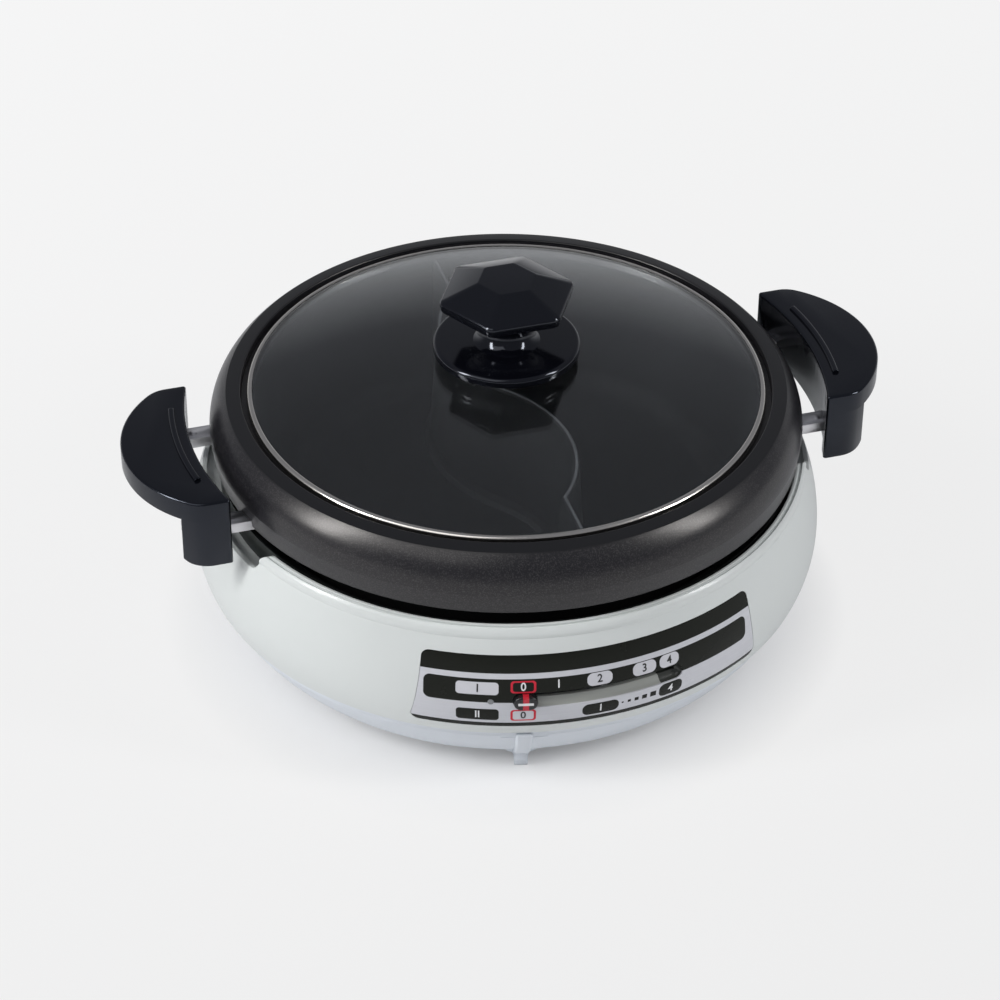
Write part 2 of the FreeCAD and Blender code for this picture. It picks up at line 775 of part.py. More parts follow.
def slot_bezel():
    deep = "(trough_r + trough_wall)"
    ring = belly_band("trough_band", "slot_z - slot_half_h - trough_rim - cut_over",
                      "slot_z + slot_half_h + trough_rim + cut_over", deep, "panel_t")
    block = common("trough_block", slot_prism("trough_prism", "trough_rim"), ring)
    end_deg = f"({SLOT_HALF_DEG} - trough_r / belly_r * 180 / pi)"
    groove = primitive("Torus", "trough_groove", z="slot_z", turn=f"-90 - {end_deg}",
                       Radius1="belly_r", Radius2="trough_r", Angle3=f"2 * {end_deg}")
    ends = []
    for number, sign in enumerate(("-", "")):
        x, y = at("belly_r", f"-90 + {sign}{end_deg}")
        ends.append(primitive("Sphere", f"trough_end_{number}", x, y, "slot_z",
                              Radius="trough_r"))
    slit_half = "(lever_deg + (tab_w / 2 + slot_end_gap) / (belly_r - trough_r) * 180 / pi)"
    slit = primitive("Cylinder", "trough_slit", z="slot_z - slit_h / 2",
                     turn=f"-90 - {slit_half}", Radius="belly_r - trough_r / 2",
                     Height="slit_h", Angle=f"2 * {slit_half}")
    return cut("bezel", block, [groove, *ends, slit])


def guard_ring():
    wall = "guard_t"
    ring = turned("guard_sheet", [
        ("guard_hole_r", "guard_floor_z"),
        ("guard_foot_r", "guard_floor_z"),
        ("guard_neck_r", "ledge_z"),
        ("guard_r", "ledge_z"),
        ("guard_r", "guard_top_z"),
        (f"guard_r - {wall}", "guard_top_z"),
        (f"guard_r - {wall}", f"ledge_z + {wall}"),
        (f"guard_neck_r - {wall}", f"ledge_z + {wall}"),
        (f"guard_foot_r - {wall}", f"guard_floor_z + {wall}"),
        ("guard_hole_r", f"guard_floor_z + {wall}"),
    ])
    holes = []
    for number, angle in enumerate(POST_DEGREES):
        x, y = at("post_pcr", angle)
        holes.append(rod(f"guard_hole_{number}", x, y, "guard_floor_z - cut_over", "screw_r",
                         f"{wall} + 2 * cut_over"))
    return cut("guard", ring, holes)


def reflector_dish():
    flange_z = "(guard_floor_z + guard_t)"
    out = "(guard_hole_r - fit_gap)"
    dish = turned("dish_sheet", [
        ("sensor_r + dish_hole_gap", "dish_floor_z"),
        (out, "dish_floor_z"),
        (out, flange_z),
        (f"{out} + dish_flange", flange_z),
        (f"{out} + dish_flange", f"{flange_z} + dish_t"),
        (f"{out} - dish_t", f"{flange_z} + dish_t"),
        (f"{out} - dish_t", DISH_TOP_Z),
        ("sensor_r + dish_hole_gap", DISH_TOP_Z),
    ])
    holes = []
    for number, sign in enumerate(("-", "")):
        x, y = at("tube_loop_r", f"90 + {sign}tube_gap_deg / 2")
        holes.append(rod(f"dish_hole_{number}", x, y, "dish_floor_z - cut_over", "tube_r",
                         "dish_t + 2 * cut_over"))
    return cut("dish", dish, holes)


def heating_element():
    loop = primitive("Torus", "element_loop", z=TUBE_Z, turn="90 + tube_gap_deg / 2",
                     Radius1="tube_loop_r", Radius2="tube_r", Angle3="360 - tube_gap_deg")
    parts = [loop]
    for number, sign in enumerate(("-", "")):
        x, y = at("tube_loop_r", f"90 + {sign}tube_gap_deg / 2")
        parts.append(primitive("Sphere", f"element_bend_{number}", x, y, TUBE_Z,
                               Radius="tube_r"))
        parts.append(rod(f"element_end_{number}", x, y, "dish_floor_z - cold_end_len", "tube_r",
                         f"{TUBE_Z} - dish_floor_z + cold_end_len"))
    return joined("element", parts)


def element_clips():
    clips = []
    for number, angle in enumerate(CLIP_DEGREES):
        body = padded(f"clip_block_{number}", "XY_Plane", [
            ("tube_loop_r - clip_len / 2", "-clip_w / 2"),
            ("tube_loop_r + clip_len / 2", "-clip_w / 2"),
            ("tube_loop_r + clip_len / 2", "clip_w / 2"),
            ("tube_loop_r - clip_len / 2", "clip_w / 2"),
        ], f"{TUBE_Z} - {DISH_TOP_Z}", lift=DISH_TOP_Z)
        place(body, turn=angle)
        tube = primitive("Torus", f"clip_tube_{number}", z=TUBE_Z,
                         Radius1="tube_loop_r", Radius2="tube_r")
        clips.append(cut(f"clip_{number}", body, [tube]))
    return group("clips", clips)


def pot_rests():
    rests = []
    for number, angle in enumerate(REST_DEGREES):
        rest = padded(f"rest_{number}", "XY_Plane", [
            ("rest_pcr - rest_len / 2", "-rest_w / 2"),
            ("rest_pcr + rest_len / 2", "-rest_w / 2"),
            ("rest_pcr + rest_len / 2", "rest_w / 2"),
            ("rest_pcr - rest_len / 2", "rest_w / 2"),
        ], f"pot_base_z - {DISH_TOP_Z}", lift=DISH_TOP_Z)
        rests.append(place(rest, turn=angle))
    return group("rests", rests)


def sensor_cap():
    return rod("sensor", "0", "0", "dish_floor_z", "sensor_r",
               "pot_base_z - fit_gap - dish_floor_z")


def thermostat():
    block = box("thermostat_block", "-thermostat_w / 2", "-thermostat_d / 2", THERMOSTAT_Z,
                "thermostat_w", "thermostat_d", "thermostat_h")
    bore = rod("thermostat_bore", "0", "0", THERMOSTAT_Z, "shaft_r + running_gap",
               "bore_depth")
    return cut("thermostat_case", block, [bore])


def thermostat_strap():
    side = "(thermostat_w / 2)"
    strap = padded("strap_sheet", "XZ_Plane", [
        (f"-{side} - strap_t", f"{THERMOSTAT_Z} - strap_t"),
        (f"{side} + strap_t", f"{THERMOSTAT_Z} - strap_t"),
        (f"{side} + strap_t", "dish_floor_z - strap_t"),
        (f"{side} + strap_ear", "dish_floor_z - strap_t"),
        (f"{side} + strap_ear", "dish_floor_z"),
        (side, "dish_floor_z"),
        (side, THERMOSTAT_Z),
        (f"-{side}", THERMOSTAT_Z),
        (f"-{side}", "dish_floor_z"),
        (f"-{side} - strap_ear", "dish_floor_z"),
        (f"-{side} - strap_ear", "dish_floor_z - strap_t"),
        (f"-{side} - strap_t", "dish_floor_z - strap_t"),
    ], "strap_w", both=True)
    bore = rod("strap_bore", "0", "0", f"{THERMOSTAT_Z} - strap_t - cut_over",
               "shaft_r + cut_over", "strap_t + 2 * cut_over")
    return cut("strap", strap, [bore])


def lever_shaft():
    body = rod("shaft_body", "0", "0", "arm_z + arm_t", "shaft_r",
               f"{THERMOSTAT_Z} + bore_depth - fit_gap - arm_z - arm_t")
    neck = rod("shaft_neck", "0", "0", "arm_z - nut_t", "shaft_neck_r", "nut_t + arm_t")
    return joined("shaft", [body, neck])


def lever_nut():
    nut = doc.addObject("Part::Prism", "nut_prism")
    nut.Polygon = 6
    bind(nut, "Circumradius", "nut_r")
    bind(nut, "Height", "nut_t")
    place(nut, z="arm_z - nut_t")
    bore = rod("nut_bore", "0", "0", "arm_z - nut_t - cut_over", "shaft_neck_r",
               "nut_t + 2 * cut_over")
    return cut("nut", nut, [bore])


def lever_arm():
    """The arm runs out under the dish, rises inside the shell and ends in a tab in the slit.
    It is built along +X and turned to its place."""
    tab_z = "(slot_z - arm_t / 2)"
    bar = box("arm_bar", "0", "-arm_w / 2", "arm_z", "arm_r", "arm_w", "arm_t")
    hub = rod("arm_hub", "0", "0", "arm_z", "hub_r", "arm_t")
    riser = box("arm_riser", "arm_r - arm_t", "-arm_w / 2", "arm_z", "arm_t", "arm_w",
                f"{tab_z} + arm_t - arm_z")
    tab = box("arm_tab", "arm_r - arm_t", "-tab_w / 2", tab_z, "belly_r - arm_r + arm_t",
              "tab_w", "arm_t")
    bore = rod("arm_bore", "0", "0", "arm_z - cut_over", "shaft_neck_r",
               "arm_t + 2 * cut_over")
    arm = cut("arm", joined("arm_solid", [bar, hub, riser, tab]), [bore])
    return place(arm, turn="-90 - lever_deg")


def lever_knob():
    back = "(belly_r - knob_back_gap)"
    body = padded("knob_body", "YZ_Plane", stadium("knob_half_w", "knob_half_h", "slot_z"),
                  "knob_back_gap + knob_stand", lift=back)
    front_x = value_of("belly_r + knob_stand")
    round_edges(body, lambda edge: abs(edge.BoundBox.XMin - front_x) < 0.01, "knob_edge_r")
    tab = box("knob_tab_pocket", f"{back} - cut_over", "-tab_w / 2", "slot_z - arm_t / 2",
              "knob_back_gap + cut_over", "tab_w", "arm_t")
    knob = cut("knob", body, [tab])
    return place(knob, turn="-90 - lever_deg")


def indicator_lens():
    return lamp_rod("lens", f"{belly('lamp_z')} - shell_wall - cut_over", "lens_r",
                    "shell_wall + cut_over")


def indicator_lamp():
    return lamp_rod("bulb", f"{belly('lamp_z')} - shell_wall - cut_over - bulb_len", "bulb_r",
                    "bulb_len")


def inlet_housing():
    back_y = "(inlet_face_y - inlet_depth)"
    block = box("inlet_block", "-inlet_w / 2", back_y, "inlet_z - inlet_h / 2", "inlet_w",
                "inlet_depth", "inlet_h")
    socket = box("inlet_socket", "-socket_w / 2", "inlet_face_y - socket_depth",
                 "inlet_z - socket_h / 2", "socket_w", "socket_depth + cut_over", "socket_h")
    holes = [inlet_pin(f"inlet_bore_{number}", sign) for number, sign in enumerate(("-", ""))]
    return cut("inlet", block, [socket, *holes])


def inlet_pin(name, sign):
    """One contact pin, from behind the housing's back wall to inside the socket."""
    start_y = "(inlet_face_y - inlet_depth)"
    length = "inlet_depth - socket_depth + pin_len"
    return rod(name, f"{sign}pin_pitch / 2", start_y, "inlet_z", "pin_r", length,
               turn="-90", axis=(1, 0, 0))


def inlet_pins():
    return group("pins", [inlet_pin(f"pin_{number}", sign)
                          for number, sign in enumerate(("-", ""))])


def terminal_block():
    block = box("terminal_solid", "-block_w / 2", "block_y - block_d / 2", HOUSING_FLOOR_Z,
                "block_w", "block_d", "block_h")
    wells = []
    for number, share in enumerate((-1, 0, 1)):
        wells.append(rod(f"terminal_well_{number}", f"{share} * block_w / 3", "block_y",
                         f"{HOUSING_FLOOR_Z} + block_h / 2", "screw_head_r", "block_h"))
    return cut("terminal", block, wells)


def thermal_fuse():
    return rod("fuse", "-tube_loop_r / 2 - fuse_len / 2", "tube_loop_r / 2",
               "dish_floor_z - fuse_r", "fuse_r", "fuse_len", turn="90", axis=(0, 1, 0))


# ---- pot ----

BOWL_SLOPE = "((pot_mouth_r - pot_floor_r) / (pot_mouth_z - pot_base_z - pot_floor_t))"
SKIRT_BEND = "(((skirt_r - rim_flat_r)^2 + rim_bend_h^2) / (2 * (skirt_r - rim_flat_r)))"
FLOOR_Z = "(pot_base_z + pot_floor_t)"


def bowl_radius(z):
    """Radius of the bowl's inner wall at a height."""
    return f"(pot_floor_r + {BOWL_SLOPE} * (({z}) - {FLOOR_Z}))"


def bowl():
    seat_low = "(seat_z - seat_t)"
    lid_wall_r = "(rim_in_r + rim_wall)"
    under_z = "(rim_z - rim_wall)"
    inner_bend = f"({SKIRT_BEND} - skirt_t)"
    under_r = (f"(skirt_r - {SKIRT_BEND} + sqrt({inner_bend}^2 - ({under_z} - skirt_crease_z)^2))")
    body = turned("bowl", [
        ("0", "pot_base_z"),
        (f"{bowl_radius('pot_base_z')} + pot_wall", "pot_base_z"),
        (f"{bowl_radius(seat_low)} + pot_wall", seat_low),
        (lid_wall_r, seat_low),
        (lid_wall_r, under_z),
        (under_r, under_z, inner_bend, 1),
        ("skirt_r - skirt_t", "skirt_crease_z"),
        ("skirt_low_r - skirt_t", "skirt_low_z"),
        ("skirt_low_r", "skirt_low_z"),
        ("skirt_r", "skirt_crease_z", SKIRT_BEND, -1),
        ("rim_flat_r", "rim_edge_z"),
        ("rim_in_r", "rim_z"),
        ("rim_in_r", "seat_z"),
        ("seat_edge_r", "seat_z"),
        ("pot_mouth_r", "pot_mouth_z"),
        ("pot_floor_r", FLOOR_Z),
        ("0", FLOOR_Z),
    ])
    round_edges(body, rings_at("pot_floor_r", FLOOR_Z), "pot_floor_bend")
    round_edges(body, rings_at(f"{bowl_radius('pot_base_z')} + pot_wall", "pot_base_z"),
                "pot_outer_bend")
    return body


def bowl_inside(name):
    """The bowl's hollow up to the dividing wall's top, a little larger so that it reaches
    into the metal all round."""
    low = f"({FLOOR_Z} - divider_sink)"
    foot_r = f"({bowl_radius(low)} + divider_sink)"
    hollow = turned(name, [
        ("0", low),
        (foot_r, low),
        (f"{bowl_radius('divider_top_z')} + divider_sink", "divider_top_z"),
        ("0", "divider_top_z"),
    ])
    round_edges(hollow, rings_at(foot_r, low), "pot_floor_bend")
    return hollow


def divider_section(offset):
    """The dividing wall's section about an offset: a flared foot, a drafted wall, a thin crest."""
    stages = [("divider_half_foot", f"{FLOOR_Z} - divider_sink"),
              ("divider_half_low", f"{FLOOR_Z} + divider_foot_h"),
              ("divider_half_crest", "divider_top_z - divider_crest_h"),
              ("divider_half_top", "divider_top_z")]
    right = [(f"{offset} + {half}", z) for half, z in stages]
    left = [(f"{offset} - {half}", z) for half, z in reversed(stages)]
    return right + left


def divider_post_section():
    """Half of the same section, for the rounded turn at the hook."""
    right = [(x.replace("0 + ", ""), z) for x, z in divider_section("0")[:4]]
    return [("0", right[0][1]), *right, ("0", right[3][1])]


def divider():
    """An S in plan: two bows that meet at the middle, each ending in a hook and a short web
    that runs straight to the bowl's wall."""
    bow = "divider_bow_r"
    centre_x = f"{bow} * cos(divider_turn_deg)"
    centre_y = f"{bow} * sin(divider_turn_deg)"
    hook_x = f"({bow} * (cos(divider_hook_deg) - cos(divider_turn_deg)))"
    hook_y = f"({bow} * (sin(divider_hook_deg) + sin(divider_turn_deg)))"
    solids = []
    for number, (sign, half_turn) in enumerate((("-", "0"), ("", "180"))):
        wall = turned(f"divider_bow_{number}", divider_section(bow),
                      "divider_hook_deg + divider_turn_deg")
        solids.append(place(wall, f"{sign}{centre_x}", f"{sign}{centre_y}",
                            turn=f"{half_turn} - divider_hook_deg"))
        flip = "" if sign == "-" else "-"
        post = turned(f"divider_hook_{number}", divider_post_section())
        solids.append(place(post, f"{flip}{hook_x}", f"{sign}{hook_y}"))
        web = padded(f"divider_web_{number}", "XZ_Plane", divider_section("0"),
                     f"pot_mouth_r - {hook_y}")
        solids.append(place(web, f"{flip}{hook_x}", f"{sign}{hook_y}", turn=half_turn))
    return common("divider_wall", joined("divider_solid", solids),
                  bowl_inside("divider_limit"))


BRACKET_SIDES = (("right", "front", "", "-"), ("right", "rear", "", ""),
                 ("left", "front", "-", "-"), ("left", "rear", "-", ""))


def mirror_box(name, sign_x, sign_y, x, y, z, length, width, height):
    """A box given for +X and +Y, put in the quarter that the signs name."""
    low_x = x if sign_x == "" else f"-({x}) - ({length})"
    low_y = y if sign_y == "" else f"-({y}) - ({width})"
    return box(name, low_x, low_y, z, length, width, height)


def pan():
    """The cast pot: bowl, rim and skirt, dividing wall and four lugs for the brackets."""
    lugs = []
    tools = []
    gap = "window_gap"
    for side, end, sign_x, sign_y in BRACKET_SIDES:
        tag = f"{side}_{end}"
        lugs.append(mirror_box(f"lug_{tag}", sign_x, sign_y, "bracket_in_x - lug_len",
                               "bracket_y - bracket_w / 2", "bracket_z - boss_h",
                               "lug_len", "bracket_w", "boss_h"))
        tools.append(mirror_box(f"skirt_gate_{tag}", sign_x, sign_y, "rim_flat_r - rim_wall",
                                f"bracket_y - bracket_w / 2 - {gap}",
                                "skirt_low_z - cut_over",
                                "skirt_r - rim_flat_r + 2 * rim_wall",
                                f"bracket_w + 2 * {gap}",
                                f"bracket_z + {gap} - skirt_low_z + cut_over"))
        tools.append(rivet_stem(f"lug_bore_{tag}", sign_x, sign_y))
    outer_lugs = cut("lugs", joined("lug_blocks", lugs), [bowl_inside("lug_limit")])
    return cut("pan", joined("pan_solid", [bowl(), divider(), outer_lugs]), tools)


def rivet_stem(name, sign_x, sign_y):
    z = "bracket_z - boss_h / 2"
    turn = "90" if sign_x == "" else "-90"
    return rod(name, f"{sign_x}(bracket_in_x - rivet_depth)", f"{sign_y}bracket_y", z,
               "rivet_r", "rivet_depth + bracket_t", turn=turn, axis=(0, 1, 0))


def bracket():
    """One handle bracket for +X and +Y: an inverted channel with a tab at the pot's end."""
    low_y = "bracket_y - bracket_w / 2"
    length = "bracket_end_x - bracket_in_x"
    top = box("bracket_top", "bracket_in_x", low_y, "bracket_z - bracket_t", length,
              "bracket_w", "bracket_t")
    front = box("bracket_front", "bracket_in_x", low_y, "bracket_z - bracket_h", length,
                "bracket_t", "bracket_h")
    rear = box("bracket_rear", "bracket_in_x", f"{low_y} + bracket_w - bracket_t",
               "bracket_z - bracket_h", length, "bracket_t", "bracket_h")
    tab = box("bracket_tab", "bracket_in_x", low_y, "bracket_z - boss_h", "bracket_t",
              "bracket_w", "boss_h")
    dimple = primitive("Cone", "bracket_dimple", "dimple_x", "bracket_y", "bracket_z",
                       Radius1="dimple_r", Radius2="dimple_r / 2", Height="dimple_rise")
    holes = [rivet_stem("bracket_rivet_hole", "", ""),
             rod("bracket_screw_hole", "grip_screw_x", "bracket_y", "bracket_z - bracket_h",
                 "screw_r", "bracket_h + cut_over")]
    return cut("bracket", joined("bracket_solid", [top, front, rear, tab, dimple]), holes)


def bracket_rivets():
    rivets = []
    for side, end, sign_x, sign_y in BRACKET_SIDES:
        tag = f"{side}_{end}"
        turn = "90" if sign_x == "" else "-90"
        head = rod(f"rivet_head_{tag}", f"{sign_x}(bracket_in_x + bracket_t)",
                   f"{sign_y}bracket_y", "bracket_z - boss_h / 2", "rivet_head_r",
                   "rivet_head_t", turn=turn, axis=(0, 1, 0))
        rivets.append(joined(f"rivet_{tag}", [rivet_stem(f"rivet_stem_{tag}", sign_x, sign_y),
                                              head]))
    return group("rivets", rivets)


def handle_screws():
    screws = []
    for side, end, sign_x, sign_y in BRACKET_SIDES:
        tag = f"{side}_{end}"
        x = f"{sign_x}grip_screw_x"
        y = f"{sign_y}bracket_y"
        under_z = "(bracket_z - bracket_t)"
        head = rod(f"grip_screw_head_{tag}", x, y, f"{under_z} - grip_head_t", "grip_head_r",
                   "grip_head_t")
        stem = rod(f"grip_screw_stem_{tag}", x, y, under_z, "screw_r",
                   "bracket_t + grip_screw_len")
        screws.append(joined(f"grip_screw_{tag}", [head, stem]))
    return group("grip_screws", screws)


GRIP_CENTRE_X = "(grip_tip - grip_out_r)"
GRIP_WALL_DEG = "asin(grip_half_w / (grip_in_r + grip_wall))"


def grip_edge_x(half_w, inset="0"):
    """Where the crescent's outer arc, moved inward, reaches a half width."""
    return f"({GRIP_CENTRE_X} + sqrt((grip_out_r - ({inset}))^2 - ({half_w})^2))"


def crescent(inner_r, inset, half_w):
    """The handle's plan: an inner arc about the pot's axis and an outer arc of its own."""
    inner_x = f"sqrt(({inner_r})^2 - ({half_w})^2)"
    outer_x = grip_edge_x(half_w, inset)
    return [
        (inner_x, f"-({half_w})"),
        (outer_x, f"-({half_w})", f"grip_out_r - ({inset})", -1),
        (outer_x, half_w),
        (inner_x, half_w, inner_r, 1),
    ]


def handle():
    """The right handle: a crescent cap with a turned-down rim, an inner wall, and an end leg
    at each side, hollow and open below between them."""
    rim_low = "grip_top_z - grip_rim_h"
    leg_top = "grip_top_z - grip_cap_t"
    cap = padded("grip_cap", "XY_Plane", crescent("grip_in_r", "0", "grip_half_w"),
                 "grip_rim_h", lift=rim_low)
    round_edges(cap, corner_at(grip_edge_x("grip_half_w")), "grip_corner_r")
    top_z = value_of("grip_top_z")
    round_edges(cap, lambda edge: abs(edge.BoundBox.ZMin - top_z) < 0.01, "grip_edge_r")
    hollow = padded("grip_hollow", "XY_Plane",
                    crescent("grip_in_r + grip_wall", "grip_rim_t", "grip_half_w - grip_leg_t"),
                    "grip_rim_h - grip_cap_t", lift=rim_low)
    wall = turned("grip_inner_wall", [
        ("grip_in_r", "grip_leg_z + grip_sill"),
        ("grip_in_r + grip_wall", "grip_leg_z + grip_sill"),
        ("grip_in_r + grip_wall", "grip_top_z - grip_cap_t"),
        ("grip_in_r", "grip_top_z - grip_cap_t"),
    ], f"2 * {GRIP_WALL_DEG}")
    place(wall, turn=f"-{GRIP_WALL_DEG}")
    plan = padded("grip_leg_plan", "XY_Plane",
                  crescent("grip_in_r", "grip_step", "grip_half_w"),
                  f"{leg_top} - grip_leg_z", lift="grip_leg_z")
    round_edges(plan, corner_at(grip_edge_x("grip_half_w", "grip_step")), "grip_corner_r")
    far_x = grip_edge_x("grip_half_w - grip_leg_t")
    slab = padded("grip_leg_slab", "XZ_Plane", [
        ("grip_in_r - grip_half_w", "grip_leg_z"),
        (f"{far_x} - grip_heel_r", "grip_leg_z", "grip_heel_r", -1),
        (far_x, "grip_leg_z + grip_heel_r"),
        (far_x, leg_top),
        ("grip_in_r - grip_half_w", leg_top),
    ], "grip_leg_t", lift="grip_half_w - grip_leg_t")
    front_leg = common("grip_leg", plan, slab)
    legs = [front_leg, mirrored("grip_leg_rear", front_leg, (0, 1, 0))]
    bosses = [rod(f"grip_boss_{number}", "grip_screw_x", f"{sign}bracket_y", "bracket_z",
                  "grip_boss_r", "grip_top_z - grip_cap_t - bracket_z")
              for number, sign in enumerate(("-", ""))]
    rib = turned("grip_rib", [
        ("rib_r - rib_half_w", "grip_top_z - cut_over"),
        ("rib_r + rib_half_w", "grip_top_z - cut_over"),
        ("rib_r + rib_half_w", "grip_top_z", "rib_bow_r", -1),
        ("rib_r - rib_half_w", "grip_top_z"),
    ], "rib_deg")
    place(rib, turn="-rib_deg / 2")
    shell = cut("grip_shell", cap, [hollow])
    tools = []
    for number, sign in enumerate(("-", "")):
        tools.append(mirror_box(f"grip_window_{number}", "", sign, "skirt_r",
                                "bracket_y - bracket_w / 2 - window_gap",
                                "bracket_z - bracket_h - window_gap",
                                "grip_in_r + grip_wall - skirt_r",
                                "bracket_w + 2 * window_gap", "bracket_h + window_gap"))
        tools.append(rod(f"grip_bore_{number}", "grip_screw_x", f"{sign}bracket_y",
                         "bracket_z - cut_over", "screw_r", "grip_screw_len + cut_over"))
    return cut("grip", joined("grip_solid", [shell, wall, *legs, *bosses, rib]), tools)


# ---- lid ----

GLASS_EDGE_R = "(lid_rim_r - lid_rim_t - glass_play)"
GLASS_LOW_Z = "(seat_z + lid_gap + lid_rim_t)"
GLASS_EDGE_Z = f"({GLASS_LOW_Z} + glass_t)"
GLASS_BOW = f"(({GLASS_EDGE_R}^2 + glass_rise^2) / (2 * glass_rise))"


def glass_top(radius):
    """Height of the glass's upper face at a distance from the axis."""
    return f"({GLASS_EDGE_Z} + glass_rise - {GLASS_BOW} + sqrt({GLASS_BOW}^2 - ({radius})^2))"


def glass_under(radius):
    """Height of the glass's lower face, which lies one thickness below the upper."""
    return f"({glass_top(radius)} - glass_t)"


GASKET_TOP = f"({glass_top('gasket_in_r')} + gasket_t)"
FLANGE_TOP = f"({GASKET_TOP} + flange_h)"
NECK_Z = f"({FLANGE_TOP} + neck_low_h)"
HEX_LOW_Z = f"({NECK_Z} + neck_high_h)"


def lid_glass():
    return turned("glass", [
        ("glass_hole_r", glass_under("glass_hole_r")),
        ("glass_hole_r", glass_top("glass_hole_r"), GLASS_BOW, 1),
        (GLASS_EDGE_R, GLASS_EDGE_Z),
        (GLASS_EDGE_R, GLASS_LOW_Z, GLASS_BOW, -1),
    ])


def lid_rim():
    low = "(seat_z + lid_gap)"
    wall = "lid_rim_t"
    lap_r = "(lid_rim_r - lid_rim_lap)"
    lap_z = f"({glass_top(lap_r)} + lid_rim_slack)"
    edge_z = f"({GLASS_EDGE_Z} + lid_rim_slack)"
    return turned("lid_band", [
        (lap_r, low),
        ("lid_rim_r", low),
        ("lid_rim_r", f"{edge_z} + {wall}"),
        (lap_r, f"{lap_z} + {wall}"),
        (lap_r, lap_z),
        (f"lid_rim_r - {wall}", edge_z),
        (f"lid_rim_r - {wall}", f"{low} + {wall}"),
        (lap_r, f"{low} + {wall}"),
    ])


def knob_gasket():
    return turned("gasket", [
        ("gasket_in_r", glass_top("gasket_in_r"), GLASS_BOW, 1),
        ("gasket_r", glass_top("gasket_r")),
        ("gasket_r", GASKET_TOP),
        ("gasket_in_r", GASKET_TOP),
    ])


def knob_flange():
    edge_low = f"({FLANGE_TOP} - flange_edge_t)"
    body = turned("flange_disc", [
        ("bolt_r", GASKET_TOP),
        ("gasket_r", GASKET_TOP),
        ("gasket_r + flange_taper", edge_low),
        ("flange_r", edge_low),
        ("flange_r", FLANGE_TOP),
        ("bolt_r", FLANGE_TOP),
    ])
    round_edges(body, rings_at("flange_r", FLANGE_TOP), "flange_bend_r")
    return body


def hexagon(circumradius, corner):
    """A six-sided outline with one vertex on +X and each vertex rounded."""
    run = f"(({corner}) * tan(30))"
    points = []
    for number in range(6):
        angle = 60 * number
        x = f"({circumradius}) * cos({angle})"
        y = f"({circumradius}) * sin({angle})"
        before = f"{angle} - 120"
        after = f"{angle} + 120"
        points.append((f"{x} + {run} * cos({before})", f"{y} + {run} * sin({before})",
                       corner, -1))
        points.append((f"{x} + {run} * cos({after})", f"{y} + {run} * sin({after})"))
    return points


def knob_grip():
    """A six-sided grip with a faceted crown, on a waisted neck."""
    edge_z = f"({HEX_LOW_Z} + hex_edge_t)"
    grip = padded("hex_slab", "XY_Plane", hexagon("hex_r", "hex_corner_r"), "hex_edge_t",
                  lift=HEX_LOW_Z)
    lower = new_sketch(grip, "crown_low", "XY_Plane", edge_z)
    outline(lower, hexagon("hex_r - hex_step", "hex_corner_r"))
    upper = new_sketch(grip, "crown_high", "XY_Plane", f"{edge_z} + crown_rise")
    outline(upper, hexagon("crown_r", "crown_corner_r"))
    crown = grip.newObject("PartDesign::AdditiveLoft", "crown")
    crown.Profile = lower
    crown.Sections = [upper]
    crown.Ruled = True
    doc.recompute()
    neck = turned("knob_neck", [
        ("0", FLANGE_TOP),
        ("neck_foot_r", FLANGE_TOP, "neck_foot_bend", 1),
        ("neck_r", NECK_Z, "neck_head_bend", 1),
        ("neck_head_r", HEX_LOW_Z),
        ("0", HEX_LOW_Z),
    ])
    bore = rod("knob_bore", "0", "0", f"{FLANGE_TOP} - cut_over", "bolt_r",
               "bolt_grip + cut_over")
    return cut("knob_top", joined("knob_solid", [grip, neck]), [bore])


def knob_washer():
    top = glass_under("washer_r")
    plate = rod("washer_plate", "0", "0", f"{top} - washer_t", "washer_r", "washer_t")
    bore = rod("washer_bore", "0", "0", f"{top} - washer_t - cut_over", "bolt_r",
               "washer_t + 2 * cut_over")
    return cut("washer", plate, [bore])


def knob_bolt():
    under = f"({glass_under('washer_r')} - washer_t)"
    head = rod("bolt_head", "0", "0", f"{under} - bolt_head_t", "bolt_head_r", "bolt_head_t")
    stem = rod("bolt_stem", "0", "0", under, "bolt_r",
               f"{FLANGE_TOP} + bolt_grip - fit_gap - {under}")
    return joined("bolt", [head, stem])


# ---- the whole object ----

sheet = make_sheet()

finish(base_shell(), "base_shell")
finish(bottom_housing(), "bottom_housing")
finish(foot_pads(), "foot_pads")
finish(housing_screws(), "housing_screws")
finish(control_panel(), "control_panel")
finish(slot_bezel(), "slot_bezel")
finish(guard_ring(), "guard_ring")
finish(reflector_dish(), "reflector_dish")
finish(heating_element(), "heating_element")
finish(element_clips(), "element_clips")
finish(pot_rests(), "pot_rests")
finish(sensor_cap(), "sensor_cap")
finish(thermostat(), "thermostat")
finish(thermostat_strap(), "thermostat_strap")
finish(indicator_lens(), "indicator_lens")
finish(indicator_lamp(), "indicator_lamp")
finish(inlet_housing(), "inlet_housing")
finish(inlet_pins(), "inlet_pins")
finish(terminal_block(), "terminal_block")
finish(thermal_fuse(), "thermal_fuse")

finish(lever_shaft(), "lever_shaft")
finish(lever_arm(), "lever_arm")
finish(lever_nut(), "lever_nut")
finish(lever_knob(), "lever_knob")

finish(pan(), "pan")
right_handle = finish(handle(), "handle_right")
finish(mirrored("grip_left", right_handle, (1, 0, 0)), "handle_left")
right_rear = finish(bracket(), "bracket_right_rear")
finish(mirrored("bracket_b", right_rear, (0, 1, 0)), "bracket_right_front")
left_rear = finish(mirrored("bracket_c", right_rear, (1, 0, 0)), "bracket_left_rear")
finish(mirrored("bracket_d", left_rear, (0, 1, 0)), "bracket_left_front")
finish(bracket_rivets(), "bracket_rivets")
finish(handle_screws(), "handle_screws")

